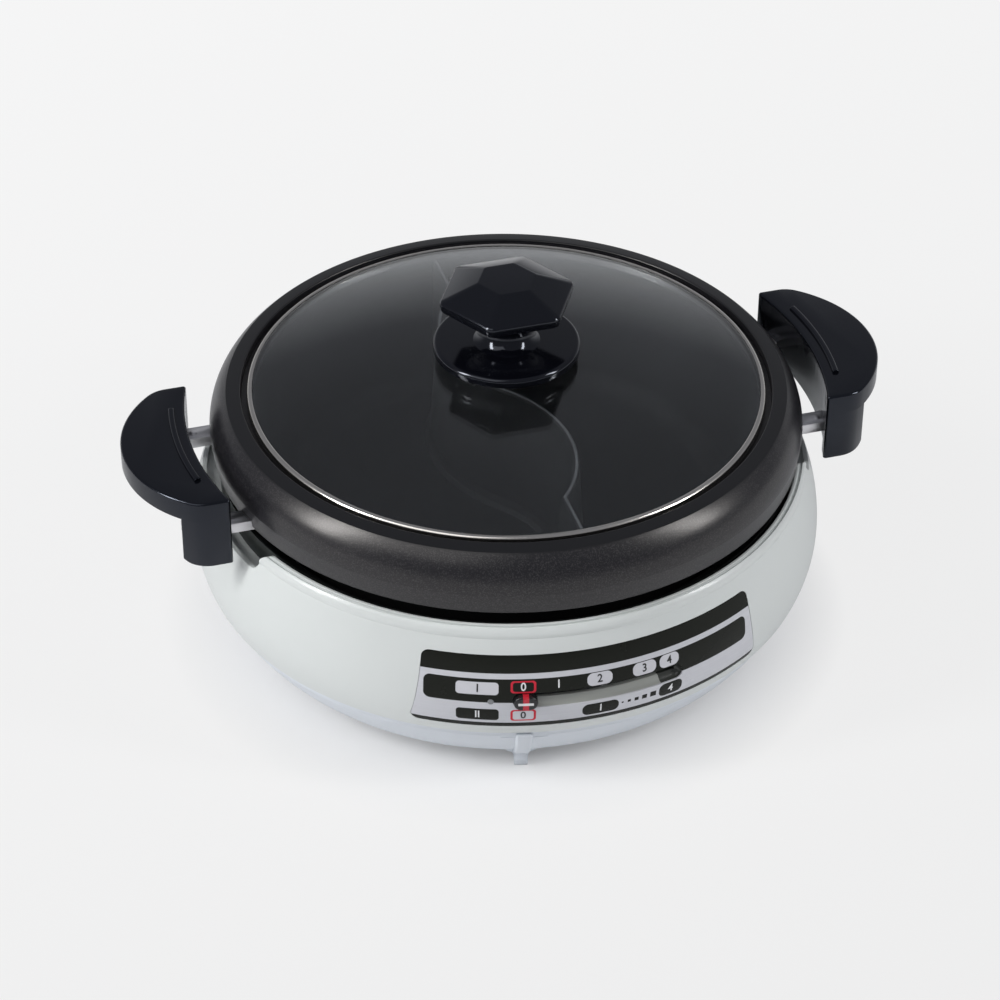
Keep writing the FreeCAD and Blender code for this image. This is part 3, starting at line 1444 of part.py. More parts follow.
finish(lid_glass(), "lid_glass")
finish(lid_rim(), "lid_rim")
finish(knob_gasket(), "knob_gasket")
finish(knob_flange(), "knob_flange")
finish(knob_grip(), "knob_grip")
finish(knob_washer(), "knob_washer")
finish(knob_bolt(), "knob_bolt")

doc.recompute()
for thing in doc.Objects:
    faults = [state for state in thing.State if state in ("Invalid", "Error")]
    if faults:
        raise RuntimeError(f"{thing.Name} ({thing.Label}): {thing.State}")
for piece in pieces:
    if piece.Shape.isNull() or not piece.Shape.isValid():
        raise RuntimeError(f"{piece.Label}: the shape is empty or not valid")

os.makedirs("parts", exist_ok=True)
for piece in pieces:
    piece.Shape.exportStep(f"parts/{piece.Label}.step")
    print(f"{piece.Label}: {len(piece.Shape.Solids)} solid(s), {piece.Shape.Volume:.0f} mm3")
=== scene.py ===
import math

import bpy
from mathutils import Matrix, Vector


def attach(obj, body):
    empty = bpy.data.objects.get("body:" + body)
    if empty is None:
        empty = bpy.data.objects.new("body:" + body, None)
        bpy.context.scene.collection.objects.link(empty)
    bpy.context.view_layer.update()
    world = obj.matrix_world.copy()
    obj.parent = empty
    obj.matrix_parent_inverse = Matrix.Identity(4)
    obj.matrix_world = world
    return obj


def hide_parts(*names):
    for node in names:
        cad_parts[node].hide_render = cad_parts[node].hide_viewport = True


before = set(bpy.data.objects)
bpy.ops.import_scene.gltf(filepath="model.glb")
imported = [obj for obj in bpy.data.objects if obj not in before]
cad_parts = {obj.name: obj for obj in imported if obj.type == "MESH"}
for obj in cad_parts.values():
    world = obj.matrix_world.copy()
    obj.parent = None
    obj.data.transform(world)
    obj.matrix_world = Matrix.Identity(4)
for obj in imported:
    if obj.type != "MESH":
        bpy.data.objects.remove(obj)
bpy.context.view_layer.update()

mm = 0.001
# points closer than these, in metres, are merged
weldGap = 3e-6
fineGap = 2e-6
print("frame loaded")


def leaveMesh():
    bpy.ops.object.mode_set(mode="OBJECT")


def clearSelection():
    if bpy.context.mode != "OBJECT":
        leaveMesh()
    bpy.ops.object.select_all(action="DESELECT")


def pickPiece(piece, *others):
    clearSelection()
    for part in (piece, *others):
        part.select_set(True)
    bpy.context.view_layer.objects.active = piece


def joinPieces(piece, *others):
    pickPiece(piece, *others)
    bpy.ops.object.join()
    return piece


def nameActive(name):
    piece = bpy.context.object
    piece.name = piece.data.name = name
    return piece


def enterMesh():
    bpy.ops.object.mode_set(mode="EDIT")


def selectMesh(action="SELECT"):
    bpy.ops.mesh.select_all(action=action)


def openMesh(piece, action="SELECT"):
    pickPiece(piece)
    enterMesh()
    selectMesh(action)


def evenSteps(start, end, steps):
    return [start + (end - start) * step / steps for step in range(steps + 1)]


def softPath(corners, steps=5):
    # a closed outline; corners are (across, up, round) in millimetres
    points = []
    count = len(corners)
    for number, (across, up, bend) in enumerate(corners):
        here = Vector((across, up))
        if bend == 0:
            points.append(here)
            continue
        back = (Vector(corners[number - 1][:2]) - here).normalized()
        ahead = (Vector(corners[(number + 1) % count][:2]) - here).normalized()
        half = back.angle(ahead) / 2
        middle = here + (back + ahead).normalized() * bend / math.sin(half)
        start = here + back * bend / math.tan(half) - middle
        finish = here + ahead * bend / math.tan(half) - middle
        sweep = -start.angle_signed(finish)
        for turn in (sweep * step / steps for step in range(steps + 1)):
            points.append(middle + Vector((start.x * math.cos(turn) - start.y * math.sin(turn),
                                           start.x * math.sin(turn) + start.y * math.cos(turn))))
    return points


def boxPath(left, right, low, high, bend=0, steps=5):
    return softPath([(left, low, bend), (right, low, bend), (right, high, bend),
                     (left, high, bend)], steps)


def arcRun(start, end, radius, side, steps):
    # the points after start, along an arc that bulges left (1) or right (-1) of the run
    start = Vector(start)
    end = Vector(end)
    chord = end - start
    normal = Vector((chord.y, -chord.x)).normalized() * side
    reach = math.sqrt(max(radius ** 2 - (chord.length / 2) ** 2, 0))
    middle = (start + end) / 2 + normal * reach
    first = start - middle
    sweep = -first.angle_signed(end - middle)
    run = []
    for turn in (sweep * step / steps for step in range(1, steps + 1)):
        run.append((middle.x + first.x * math.cos(turn) - first.y * math.sin(turn),
                    middle.y + first.x * math.sin(turn) + first.y * math.cos(turn), 0))
    return run


def drawLine(name, points, flat=False, lift=0):
    # upright outlines lie in XZ at Y = lift, flat ones in XY at the height lift
    spots = []
    for across, up in points:
        spots.append(Vector((across, up, lift) if flat else (across, lift, up)) * mm)
    clearSelection()
    bpy.ops.mesh.primitive_plane_add(size=0.01, location=(0, 0, 0))
    piece = nameActive(name)
    enterMesh()
    selectMesh()
    bpy.ops.mesh.merge(type="CENTER")
    bpy.ops.transform.translate(value=spots[0])
    last = spots[0]
    for spot in spots[1:] + spots[:1]:
        bpy.ops.mesh.extrude_region_move(TRANSFORM_OT_translate={"value": spot - last})
        last = spot
    selectMesh()
    bpy.ops.mesh.remove_doubles(threshold=1e-6)
    selectMesh()
    return piece


def closeMesh():
    selectMesh()
    bpy.ops.mesh.remove_doubles(threshold=weldGap)
    bpy.ops.mesh.normals_make_consistent(inside=False)


def turnAndMove(degrees, move):
    selectMesh()
    if degrees:
        bpy.ops.transform.rotate(value=math.radians(degrees), orient_axis="Z",
                                 center_override=(0, 0, 0))
    bpy.ops.transform.translate(value=(move[0] * mm, move[1] * mm, 0))


def placePiece(piece, degrees, move=(0, 0)):
    # degrees run clockwise seen from above
    openMesh(piece)
    turnAndMove(degrees, move)
    leaveMesh()
    return piece


def spinRound(name, points, steps=240):
    piece = drawLine(name, points)
    bpy.ops.mesh.spin(steps=steps, angle=2 * math.pi, center=(0, 0, 0), axis=(0, 0, 1))
    closeMesh()
    leaveMesh()
    return piece


def spinPart(name, points, degrees, start=0, center=(0, 0), steps=48):
    # a solid that turns part of the way round an upright axis, from start degrees
    piece = drawLine(name, points)
    bpy.ops.mesh.edge_face_add()
    bpy.ops.mesh.spin(steps=steps, angle=math.radians(degrees), center=(0, 0, 0), axis=(0, 0, 1))
    closeMesh()
    turnAndMove(start, center)
    leaveMesh()
    return piece


def carryOutline(piece, move):
    bpy.ops.mesh.edge_face_add()
    bpy.ops.mesh.extrude_region_move(TRANSFORM_OT_translate={"value": move})
    closeMesh()
    leaveMesh()
    return piece


def raiseFlat(name, points, low, high):
    # a flat outline carried straight up
    return carryOutline(drawLine(name, points, flat=True, lift=low), (0, 0, (high - low) * mm))


def pushFront(name, points, near, far):
    # an upright outline carried along Y from near to far
    return carryOutline(drawLine(name, points, lift=near), (0, (far - near) * mm, 0))


def combine(piece, tool, how="DIFFERENCE"):
    pickPiece(piece)
    modifier = piece.modifiers.new("combine", "BOOLEAN")
    modifier.operation = how
    modifier.solver = "EXACT"
    modifier.object = tool
    bpy.ops.object.modifier_apply(modifier=modifier.name)
    bpy.data.objects.remove(tool)
    return piece


def chooseEdges(piece, test, sharp=0):
    # leaves edit mode open with only the edges that pass the test selected
    pickPiece(piece)
    enterMesh()
    bpy.ops.mesh.select_mode(type="EDGE")
    selectMesh("DESELECT" if sharp else "SELECT")
    if sharp:
        bpy.ops.mesh.edges_select_sharp(sharpness=math.radians(sharp))
    leaveMesh()
    corners = piece.data.vertices
    for edge in piece.data.edges:
        a, b = (corners[number].co / mm for number in edge.vertices)
        edge.select = edge.select and bool(test(a, b))
    for part in (piece.data.vertices, piece.data.polygons):
        for item in part:
            item.select = False
    enterMesh()


def bevelChosen(width, segments=3):
    bpy.ops.mesh.bevel(offset=width * mm, segments=segments, affect="EDGES", clamp_overlap=True)
    bpy.ops.mesh.select_mode(type="VERT")
    closeMesh()
    leaveMesh()


def linkObject(item):
    bpy.context.scene.collection.objects.link(item)
    return item


def copyPiece(source, name):
    piece = source.copy()
    piece.data = source.data.copy()
    piece.name = piece.data.name = name
    return linkObject(piece)


def mirrorCopy(piece, name, axis):
    other = copyPiece(piece, name)
    openMesh(other)
    scale = tuple(-1 if letter == axis else 1 for letter in "XYZ")
    bpy.ops.transform.resize(value=scale, center_override=(0, 0, 0))
    bpy.ops.mesh.normals_make_consistent(inside=False)
    leaveMesh()
    return other


def fourCorners(piece):
    # the same block at the four places mirrored in X and Y, as one piece
    other = mirrorCopy(piece, piece.name + "B", "X")
    return joinPieces(piece, other, mirrorCopy(piece, piece.name + "C", "Y"),
                      mirrorCopy(other, piece.name + "D", "Y"))


def finishPiece(piece, body, look, stands=(), smooth=32):
    pickPiece(piece)
    bpy.ops.object.transform_apply(location=True, rotation=True, scale=True)
    bpy.ops.object.shade_smooth_by_angle(angle=math.radians(smooth))
    piece.data.materials.clear()
    piece.data.materials.append(look)
    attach(piece, body)
    if stands:
        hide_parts(*stands)
    return piece


def looseCopy(node):
    # a frame part whose shape is right, merged into plain faces
    piece = copyPiece(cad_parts[node], node + "_look")
    for key in list(piece.keys()):
        del piece[key]
    piece.parent = None
    openMesh(piece)
    bpy.ops.mesh.customdata_custom_splitnormals_clear()
    bpy.ops.mesh.remove_doubles(threshold=fineGap)
    bpy.ops.mesh.dissolve_limited(angle_limit=math.radians(0.5))
    closeMesh()
    leaveMesh()
    return piece


def weldedCopy(node, body, look, edge=0.0):
    piece = looseCopy(node)
    if edge:
        modifier = piece.modifiers.new("edges", "BEVEL")
        modifier.width = edge * mm
        modifier.segments = 2
        modifier.limit_method = "ANGLE"
        modifier.angle_limit = math.radians(40)
        bpy.ops.object.modifier_apply(modifier=modifier.name)
    return finishPiece(piece, body, look, (node,))


def tone(red, green, blue):
    # display colour, 0 to 255, as the linear value that shaders use
    linear = []
    for part in (red, green, blue):
        part = part / 255
        linear.append(part / 12.92 if part <= 0.04045 else ((part + 0.055) / 1.055) ** 2.4)
    return (*linear, 1)


def fillSockets(tree, node, links):
    # what comes from another node is linked, a constant is set on the socket
    for socket, value in links.items():
        target = node.inputs[socket]
        if isinstance(value, bpy.types.NodeSocket):
            tree.links.new(value, target)
        else:
            target.default_value = value
    return node


def addNode(tree, kind, links=None, **settings):
    node = tree.nodes.new("ShaderNode" + kind)
    for key, value in settings.items():
        setattr(node, key, value)
    return fillSockets(tree, node, links or {})


def useGroup(tree, group, links=None):
    return addNode(tree, "Group", links, node_tree=group)


def mixTones(tree, mask, first, second):
    return addNode(tree, "Mix", {"Factor": mask, 6: first, 7: second},
                   data_type="RGBA").outputs[2]


def calculate(tree, operation, first, second=0.0):
    return addNode(tree, "Math", {0: first, 1: second}, operation=operation).outputs[0]


def mapRange(tree, value, start, end, low=0.0, high=1.0):
    return addNode(tree, "MapRange", {"Value": value, "From Min": start, "From Max": end,
                                      "To Min": low, "To Max": high}).outputs[0]


def ownPlace(tree):
    return addNode(tree, "TexCoord").outputs["Object"]


def cloudNoise(tree, place, scale, detail):
    return addNode(tree, "TexNoise", {"Vector": place, "Scale": scale,
                                      "Detail": detail}).outputs[0]


def axisReach(tree, spot):
    # how far a point lies from the upright axis
    return calculate(tree, "SQRT", calculate(
        tree, "ADD", calculate(tree, "POWER", spot.outputs["X"], 2.0),
        calculate(tree, "POWER", spot.outputs["Y"], 2.0)))


def startGroup(name, inputs, output, kind):
    tree = bpy.data.node_groups.new(name, "ShaderNodeTree")
    for label, value in inputs.items():
        socket = tree.interface.new_socket(label, in_out="INPUT", socket_type="NodeSocketFloat")
        socket.default_value = value
    tree.interface.new_socket(output, in_out="OUTPUT", socket_type="NodeSocket" + kind)
    return tree, tree.nodes.new("NodeGroupInput"), tree.nodes.new("NodeGroupOutput")


def startLook(name):
    look = bpy.data.materials.new(name)
    look.use_nodes = True
    tree = look.node_tree
    tree.nodes.clear()
    output = tree.nodes.new("ShaderNodeOutputMaterial")
    shader = tree.nodes.new("ShaderNodeBsdfPrincipled")
    tree.links.new(shader.outputs[0], output.inputs["Surface"])
    return look, tree, shader


def showMix(tree, share, first, second):
    # the surface becomes a mix of two shaders
    both = addNode(tree, "MixShader", {0: share, 1: first.outputs[0], 2: second.outputs[0]})
    output = next(node for node in tree.nodes if node.type == "OUTPUT_MATERIAL")
    tree.links.new(both.outputs[0], output.inputs["Surface"])


# moulded grain: a fine two-scale bump, with faint long waves as a mould leaves them
def makeGrain():
    tree, entry, result = startGroup("mouldedGrain", {"Size": 0.0006, "Depth": 0.2},
                                     "Normal", "Vector")
    place = ownPlace(tree)
    frequency = calculate(tree, "DIVIDE", 1.0, entry.outputs["Size"])
    waves = calculate(tree, "MULTIPLY", cloudNoise(tree, place, 18.0, 2.0), 0.6)
    height = calculate(tree, "ADD", cloudNoise(tree, place, frequency, 3.0), waves)
    bump = addNode(tree, "Bump", {"Height": height, "Strength": entry.outputs["Depth"],
                                  "Distance": 0.0002})
    tree.links.new(bump.outputs[0], result.inputs["Normal"])
    return tree


# handling marks: soft patches where a surface is slightly duller
def makeHandling():
    tree, entry, result = startGroup("handlingMarks", {"Spread": 22.0}, "Mask", "Float")
    patches = addNode(tree, "TexNoise", {"Vector": ownPlace(tree), "Detail": 5.0,
                                         "Scale": entry.outputs["Spread"], "Roughness": 0.6})
    tree.links.new(mapRange(tree, patches.outputs[0], 0.45, 0.75), result.inputs["Mask"])
    return tree


# one printed rounded box: a mask from its middle, half size and corner round
def makePrintBox():
    tree, entry, result = startGroup(
        "printedBox", {"Across": 0.0, "Up": 0.0, "MidAcross": 0.0, "MidUp": 0.0,
                       "HalfWide": 0.001, "HalfTall": 0.001, "Round": 0.0005, "Soft": 0.00008},
        "Mask", "Float")
    pieces = []
    for across, middle, half in (("Across", "MidAcross", "HalfWide"), ("Up", "MidUp", "HalfTall")):
        away = calculate(tree, "ABSOLUTE", calculate(tree, "SUBTRACT", entry.outputs[across],
                                                     entry.outputs[middle]))
        inner = calculate(tree, "SUBTRACT", entry.outputs[half], entry.outputs["Round"])
        pieces.append(calculate(tree, "SUBTRACT", away, inner))
    outside = [calculate(tree, "POWER", calculate(tree, "MAXIMUM", piece, 0.0), 2.0)
               for piece in pieces]
    corner = calculate(tree, "SQRT", calculate(tree, "ADD", outside[0], outside[1]))
    inside = calculate(tree, "MINIMUM", calculate(tree, "MAXIMUM", pieces[0], pieces[1]), 0.0)
    distance = calculate(tree, "SUBTRACT", calculate(tree, "ADD", corner, inside),
                         entry.outputs["Round"])
    mask = mapRange(tree, distance, entry.outputs["Soft"],
                    calculate(tree, "MULTIPLY", entry.outputs["Soft"], -1.0))
    tree.links.new(mask, result.inputs["Mask"])
    return tree


grainGroup = makeGrain()
handlingGroup = makeHandling()
printGroup = makePrintBox()


def wornRough(tree, fresh, duller, spread=22.0):
    marks = useGroup(tree, handlingGroup, {"Spread": spread})
    return mapRange(tree, marks.outputs[0], 0.0, 1.0, fresh, duller)


def grainBump(tree, size, depth):
    return useGroup(tree, grainGroup, {"Size": size, "Depth": depth}).outputs["Normal"]


def plasticLook(name, color, second, fresh, duller, grain, depth, more=None):
    look, tree, shader = startLook(name)
    fillSockets(tree, shader, {
        "Base Color": mixTones(tree, cloudNoise(tree, ownPlace(tree), 9.0, 3.0), color, second),
        "Roughness": wornRough(tree, fresh, duller), "Normal": grainBump(tree, grain, depth),
        **(more or {})})
    return look


def metalLook(name, color, second, fresh, duller, stretch, depth=0.1):
    # brushed or rolled metal: noise drawn out along one direction
    look, tree, shader = startLook(name)
    drawn = addNode(tree, "Mapping", {"Vector": ownPlace(tree), "Scale": stretch})
    lines = cloudNoise(tree, drawn.outputs[0], 60.0, 4.0)
    bump = addNode(tree, "Bump", {"Height": lines, "Strength": depth, "Distance": 0.0001})
    fillSockets(tree, shader, {
        "Base Color": mixTones(tree, lines, color, second), "Metallic": 1.0,
        "Roughness": wornRough(tree, fresh, duller, 60.0), "Normal": bump.outputs[0]})
    return look


def faceSpot(tree, radius):
    # how far round the front a point lies, and how high
    spot = addNode(tree, "SeparateXYZ", {0: ownPlace(tree)})
    turn = calculate(tree, "ARCTAN2", spot.outputs["X"],
                     calculate(tree, "MULTIPLY", spot.outputs["Y"], -1.0))
    return {"Across": calculate(tree, "MULTIPLY", turn, radius * mm), "Up": spot.outputs["Z"]}


def printOn(tree, color, radius, marks):
    # each mark: ink, angles from and to, heights from and to, corner round
    spot = faceSpot(tree, radius)
    for ink, start, end, low, high, corner in marks:
        mask = useGroup(tree, printGroup, {
            **spot, "MidAcross": math.radians((start + end) / 2) * radius * mm,
            "HalfWide": math.radians(end - start) / 2 * radius * mm, "Round": corner * mm,
            "MidUp": (low + high) / 2 * mm, "HalfTall": (high - low) / 2 * mm})
        color = mixTones(tree, mask.outputs[0], color, ink)
    return color


shellSizes = {
    "bellyRadius": 192.0, "bellyHeight": 73.0, "upperBow": 98.0, "lowerBow": 60.0, "wall": 2.6,
    "seam": 48.0, "seamEdge": 0.6, "shoulder": 114.5, "shoulderBend": 6.0, "lipRadius": 180.28,
    "lipHeight": 120.9, "lipEdge": 0.4, "grooveWidth": 1.6, "grooveDepth": 1.2,
    "grooveBend": 0.3, "beadWidth": 1.9, "beadRise": 0.6, "beadBend": 0.5,
    "ledgeRadius": 164.08, "ledgeLow": 103.8, "ledgeHigh": 106.0, "ledgeBend": 0.4,
    "notchHalfWidth": 66.5, "notchSill": 109.0, "notchCorner": 5.4, "lipEnd": 6.8,
    "notchEdge": 0.8, "inletHalf": 19.0, "inletLow": 65.0, "inletHigh": 87.0, "inletBend": 1.5,
    "recessMargin": 0.25, "recessDepth": 0.8, "slotMargin": 1.6, "lensHole": 1.9,
}


def bellyRadius(height, inset=0.0):
    s = shellSizes
    bow = s["upperBow"] if height >= s["bellyHeight"] else s["lowerBow"]
    return (s["bellyRadius"] - bow
            + math.sqrt((bow - inset) ** 2 - (height - s["bellyHeight"]) ** 2))


def bellyRun(low, high, inset, steps):
    return [(bellyRadius(height, inset), height, 0) for height in evenSteps(low, high, steps)]


def makeShell(look):
    s = shellSizes
    top = s["lipHeight"]
    groove = top - s["grooveDepth"]
    bead = s["lipRadius"] - s["grooveWidth"]
    beadTop = top + s["beadRise"]
    corners = bellyRun(s["seam"] + s["seamEdge"], s["shoulder"], 0, 26)
    corners += arcRun(corners[-1][:2], (s["lipRadius"] + s["lipEdge"], top),
                      s["shoulderBend"], -1, 6)
    corners += [
        (s["lipRadius"], top - s["lipEdge"], 0), (s["lipRadius"], groove, s["grooveBend"]),
        (bead, groove, s["grooveBend"]), (bead, beadTop, s["beadBend"]),
        (bead - s["beadWidth"], beadTop, s["beadBend"]),
        (bead - s["beadWidth"], top - s["wall"], 0),
    ]
    corners += bellyRun(s["shoulder"], s["ledgeHigh"], s["wall"], 4)
    corners += [(s["ledgeRadius"], s["ledgeHigh"], s["ledgeBend"]),
                (s["ledgeRadius"], s["ledgeLow"], s["ledgeBend"])]
    corners += bellyRun(s["ledgeLow"], s["seam"], s["wall"], 20)
    corners += [(bellyRadius(s["seam"]) - s["seamEdge"], s["seam"], 0)]
    shell = spinRound("shellBody", softPath(corners, steps=4), 288)
    # a notch on each side under the pot's handles
    half = s["notchHalfWidth"]
    above = beadTop + 0.05
    outline = softPath([
        (-half - 20, 140, 0), (-half - 20, above, 0), (-half, above, s["lipEnd"]),
        (-half, s["notchSill"], s["notchCorner"]), (half, s["notchSill"], s["notchCorner"]),
        (half, above, s["lipEnd"]), (half + 20, above, 0), (half + 20, 140, 0)], steps=10)
    combine(shell, placePiece(pushFront("notchTool", outline, -200, 200), 90))
    chooseEdges(shell, lambda a, b: all(
        point.z > s["notchSill"] - 0.05 and abs(point.y) < half + 7 and abs(point.x) > 150
        for point in (a, b)), sharp=40)
    bevelChosen(s["notchEdge"])
    combine(shell, panelBlock("recessTool", s["recessMargin"], s["recessDepth"], 2.0))
    combine(shell, slotBlock("slotTool", s["slotMargin"]))
    combine(shell, lampBlock("lensTool", s["lensHole"]))
    inlet = boxPath(-s["inletHalf"], s["inletHalf"], s["inletLow"], s["inletHigh"], s["inletBend"])
    combine(shell, pushFront("inletTool", inlet, 170, 200))
    return finishPiece(shell, "base", look, ("base_shell",))


housingSizes = {
    "bow": 90.0, "bowRadius": 101.3, "bowHeight": 81.2, "top": 47.7, "flank": 1.2,
    "flankTop": 42.5, "skin": 0.08, "overlap": 0.02, "ribOut": 3.4, "ribTop": 46.2,
    "ribFoot": 10.0, "ribGrow": 0.5, "ribHalf": 5.0, "ribNarrow": 0.78, "ribEdge": 1.7,
    "ribSink": 4.0, "narrowTop": 12.0, "padTop": 1.5, "footIn": 150.6, "footOut": 160.2,
    "toe": 0.8, "toeTop": 5.5, "toeBend": 3.0, "heelTop": 10.5, "flare": 8.6, "flareTop": 12.5,
    "flareRoot": 10.4, "flareBend": 2.6, "flareNeck": 9.3, "flareHalf": 3.6, "flareLow": 3.5,
    "flareOut": 158.2, "footTurn": -13.3,
}


def housingRadius(height, out=0.0):
    h = housingSizes
    return h["bowRadius"] + out + math.sqrt(h["bow"] ** 2 - (height - h["bowHeight"]) ** 2)


def makeRib():
    # one rib foot that points along X: rounded outside, narrower below, flared at its root
    h = housingSizes
    face = []
    for step, height in enumerate(evenSteps(h["ribTop"], h["ribFoot"], 12)):
        face.append((housingRadius(height, h["ribOut"] + h["ribGrow"] * step / 12), height, 0))
    rib = pushFront("footRib", softPath([
        (housingRadius(h["ribTop"]) - h["ribSink"], h["ribTop"], 0),
        (face[0][0] - 0.6, h["ribTop"], 0), *face[1:],
        (h["footOut"] + h["toe"], h["toeTop"], h["toeBend"]), (h["footOut"], h["padTop"], 0),
        (h["footIn"], h["padTop"], 0), (h["footIn"] - 1, h["heelTop"], 0)], steps=4),
        -h["ribHalf"], h["ribHalf"])
    chooseEdges(rib, lambda a, b: max(a.z, b.z) < h["ribTop"] + 0.01 and
                min(a.x, b.x) > h["footOut"] - 0.5 and abs(a.y - b.y) < 0.01, sharp=40)
    bevelChosen(h["ribEdge"], 4)
    openMesh(rib, "DESELECT")
    leaveMesh()
    for corner in rib.data.vertices:
        corner.select = corner.co.z < h["narrowTop"] * mm
    enterMesh()
    bpy.ops.transform.resize(value=(1, h["ribNarrow"], 1), center_override=(0, 0, 0))
    leaveMesh()
    flare = softPath([
        (-h["flare"], h["flareTop"], 0), (-h["flare"], h["flareRoot"], 0),
        (-h["ribHalf"], h["flareNeck"], h["flareBend"]), (-h["flareHalf"], h["flareLow"], 0),
        (h["flareHalf"], h["flareLow"], 0), (h["ribHalf"], h["flareNeck"], h["flareBend"]),
        (h["flare"], h["flareRoot"], 0), (h["flare"], h["flareTop"], 0)], steps=5)
    return combine(rib, placePiece(pushFront("footFlare", flare, h["footIn"] + 0.4,
                                             h["flareOut"]), 90), "UNION")


def makeHousing(look):
    h = housingSizes
    housing = looseCopy("bottom_housing")
    skin = housingRadius(h["top"], h["skin"])
    trim = spinRound("flankTrim", [
        (housingRadius(h["flankTop"], h["flank"]) + h["overlap"], h["flankTop"]),
        (skin, h["top"] + h["overlap"]), (skin, 50), (200, 50), (200, h["flankTop"])], 288)
    combine(housing, trim)
    model = makeRib()
    ribs = None
    for number in range(4):
        rib = placePiece(copyPiece(model, f"footRib{number}"), 90 - h["footTurn"] + 90 * number)
        ribs = combine(ribs, rib, "UNION") if ribs else rib
    bpy.data.objects.remove(model)
    for part in (housing, ribs):
        openMesh(part)
        bpy.ops.mesh.quads_convert_to_tris()
        leaveMesh()
    combine(housing, ribs, "UNION")
    return finishPiece(housing, "base", look, ("bottom_housing",), smooth=28)


panelSizes = {
    "low": 56.3, "high": 105.7, "lowHalf": 105.7, "highHalf": 97.6, "corner": 5.0,
    "film": 0.8, "slotHeight": 76.7, "slotHalfAngle": 15.54, "slotHalf": 5.1,
    "lampAngle": -19.3, "lampHeight": 76.0, "lensRadius": 1.8, "lensGap": 0.1,
    "near": -215.0, "far": -20.0,
}


def panelBlock(name, margin, depth, proud):
    # the part of a ring along the shell's face that lies inside the panel's outline
    p = panelSizes
    corners = bellyRun(p["low"] - 4, p["high"] + 4, -proud, 24)
    corners += list(reversed(bellyRun(p["low"] - 4, p["high"] + 4, depth, 24)))
    ring = spinRound(name, softPath(corners), 288)
    lowHalf = p["lowHalf"] + margin
    highHalf = p["highHalf"] + margin
    outline = softPath([
        (-lowHalf, p["low"] - margin, p["corner"]), (lowHalf, p["low"] - margin, p["corner"]),
        (highHalf, p["high"] + margin, p["corner"]), (-highHalf, p["high"] + margin, p["corner"]),
    ], steps=6)
    return combine(ring, pushFront(name + "Cut", outline, p["near"], p["far"]), "INTERSECT")


def slotBlock(name, margin):
    p = panelSizes
    half = shellSizes["bellyRadius"] * math.sin(math.radians(p["slotHalfAngle"])) + margin
    tall = p["slotHalf"] + margin
    outline = boxPath(-half, half, p["slotHeight"] - tall, p["slotHeight"] + tall, tall - 0.01, 14)
    return pushFront(name, outline, p["near"], p["far"])


def lampBlock(name, radius):
    p = panelSizes
    clearSelection()
    turn = math.radians(p["lampAngle"])
    reach = 190 * mm
    bpy.ops.mesh.primitive_cylinder_add(
        vertices=48, radius=radius * mm, depth=0.03, rotation=(math.pi / 2, 0, turn),
        location=(reach * math.sin(turn), -reach * math.cos(turn), p["lampHeight"] * mm))
    piece = nameActive(name)
    bpy.ops.object.transform_apply(location=True, rotation=True, scale=True)
    return piece


def makePanel(look):
    p = panelSizes
    film = panelBlock("panelFilm", 0, p["film"], 0)
    combine(film, slotBlock("filmSlot", 0))
    combine(film, lampBlock("filmLens", p["lensRadius"] + p["lensGap"]))
    return finishPiece(film, "base", look, ("control_panel",))


silver = tone(208, 208, 213)
black = tone(24, 26, 21)
red = tone(204, 44, 62)
panelMarks = [
    (black, -33, 33, 95.0, 107.0, 0.2),
    (black, -31.0, 30.3, 75.5, 91.5, 4.0),
    (black, -36, 36, 55.0, 59.5, 0.2),
    (silver, -25.35, -17.96, 80.9, 89.3, 2.2),
    (black, -25.3, -17.9, 61.7, 70.6, 2.2),
    (red, -15.9, -11.5, 82.2, 90.3, 2.0),
    (black, -15.5, -11.9, 83.2, 89.3, 1.4),
    (red, -15.9, -11.5, 61.2, 70.2, 2.0),
    (silver, -15.5, -11.9, 62.2, 69.2, 1.4),
    (silver, -2.6, 1.93, 82.5, 91.0, 3.6),
    (silver, 5.72, 10.16, 82.5, 91.0, 3.6),
    (silver, 10.86, 14.73, 82.5, 91.0, 3.6),
    (black, -3.4, 3.2, 60.8, 69.6, 3.8),
    (black, 10.9, 15.55, 60.9, 70.7, 3.8),
    (black, 3.72, 4.08, 65.2, 66.4, 0.1),
    (black, 4.84, 5.44, 64.8, 66.8, 0.1),
    (black, 6.14, 6.92, 64.5, 67.1, 0.1),
    (black, 7.57, 8.53, 64.2, 67.4, 0.1),
    (black, 9.15, 10.31, 63.9, 67.8, 0.1),
]


def makePanelLook():
    look, tree, shader = startLook("printedPanel")
    drawn = addNode(tree, "Mapping", {"Vector": ownPlace(tree), "Scale": (3.0, 3.0, 900.0)})
    color = mixTones(tree, cloudNoise(tree, drawn.outputs[0], 1.0, 4.0), tone(197, 198, 203),
                     tone(211, 212, 217))
    fillSockets(tree, shader, {
        "Base Color": printOn(tree, color, shellSizes["bellyRadius"], panelMarks),
        "Roughness": wornRough(tree, 0.22, 0.3, 30.0), "Specular IOR Level": 0.16,
        "Normal": grainBump(tree, 0.0009, 0.05)})
    return look


# the trough carries the panel's dark and pale bands on, with white dashes between them
troughMarks = [(tone(168, 170, 165), -20.0, 11.3, 66.0, 76.2, 2.4)]
for start, end in ((-8.33, -4.66), (-1.06, 0.43), (7.37, 8.96), (11.96, 13.87)):
    troughMarks.append((tone(236, 237, 236), start, end, 76.2, 77.3, 0.3))


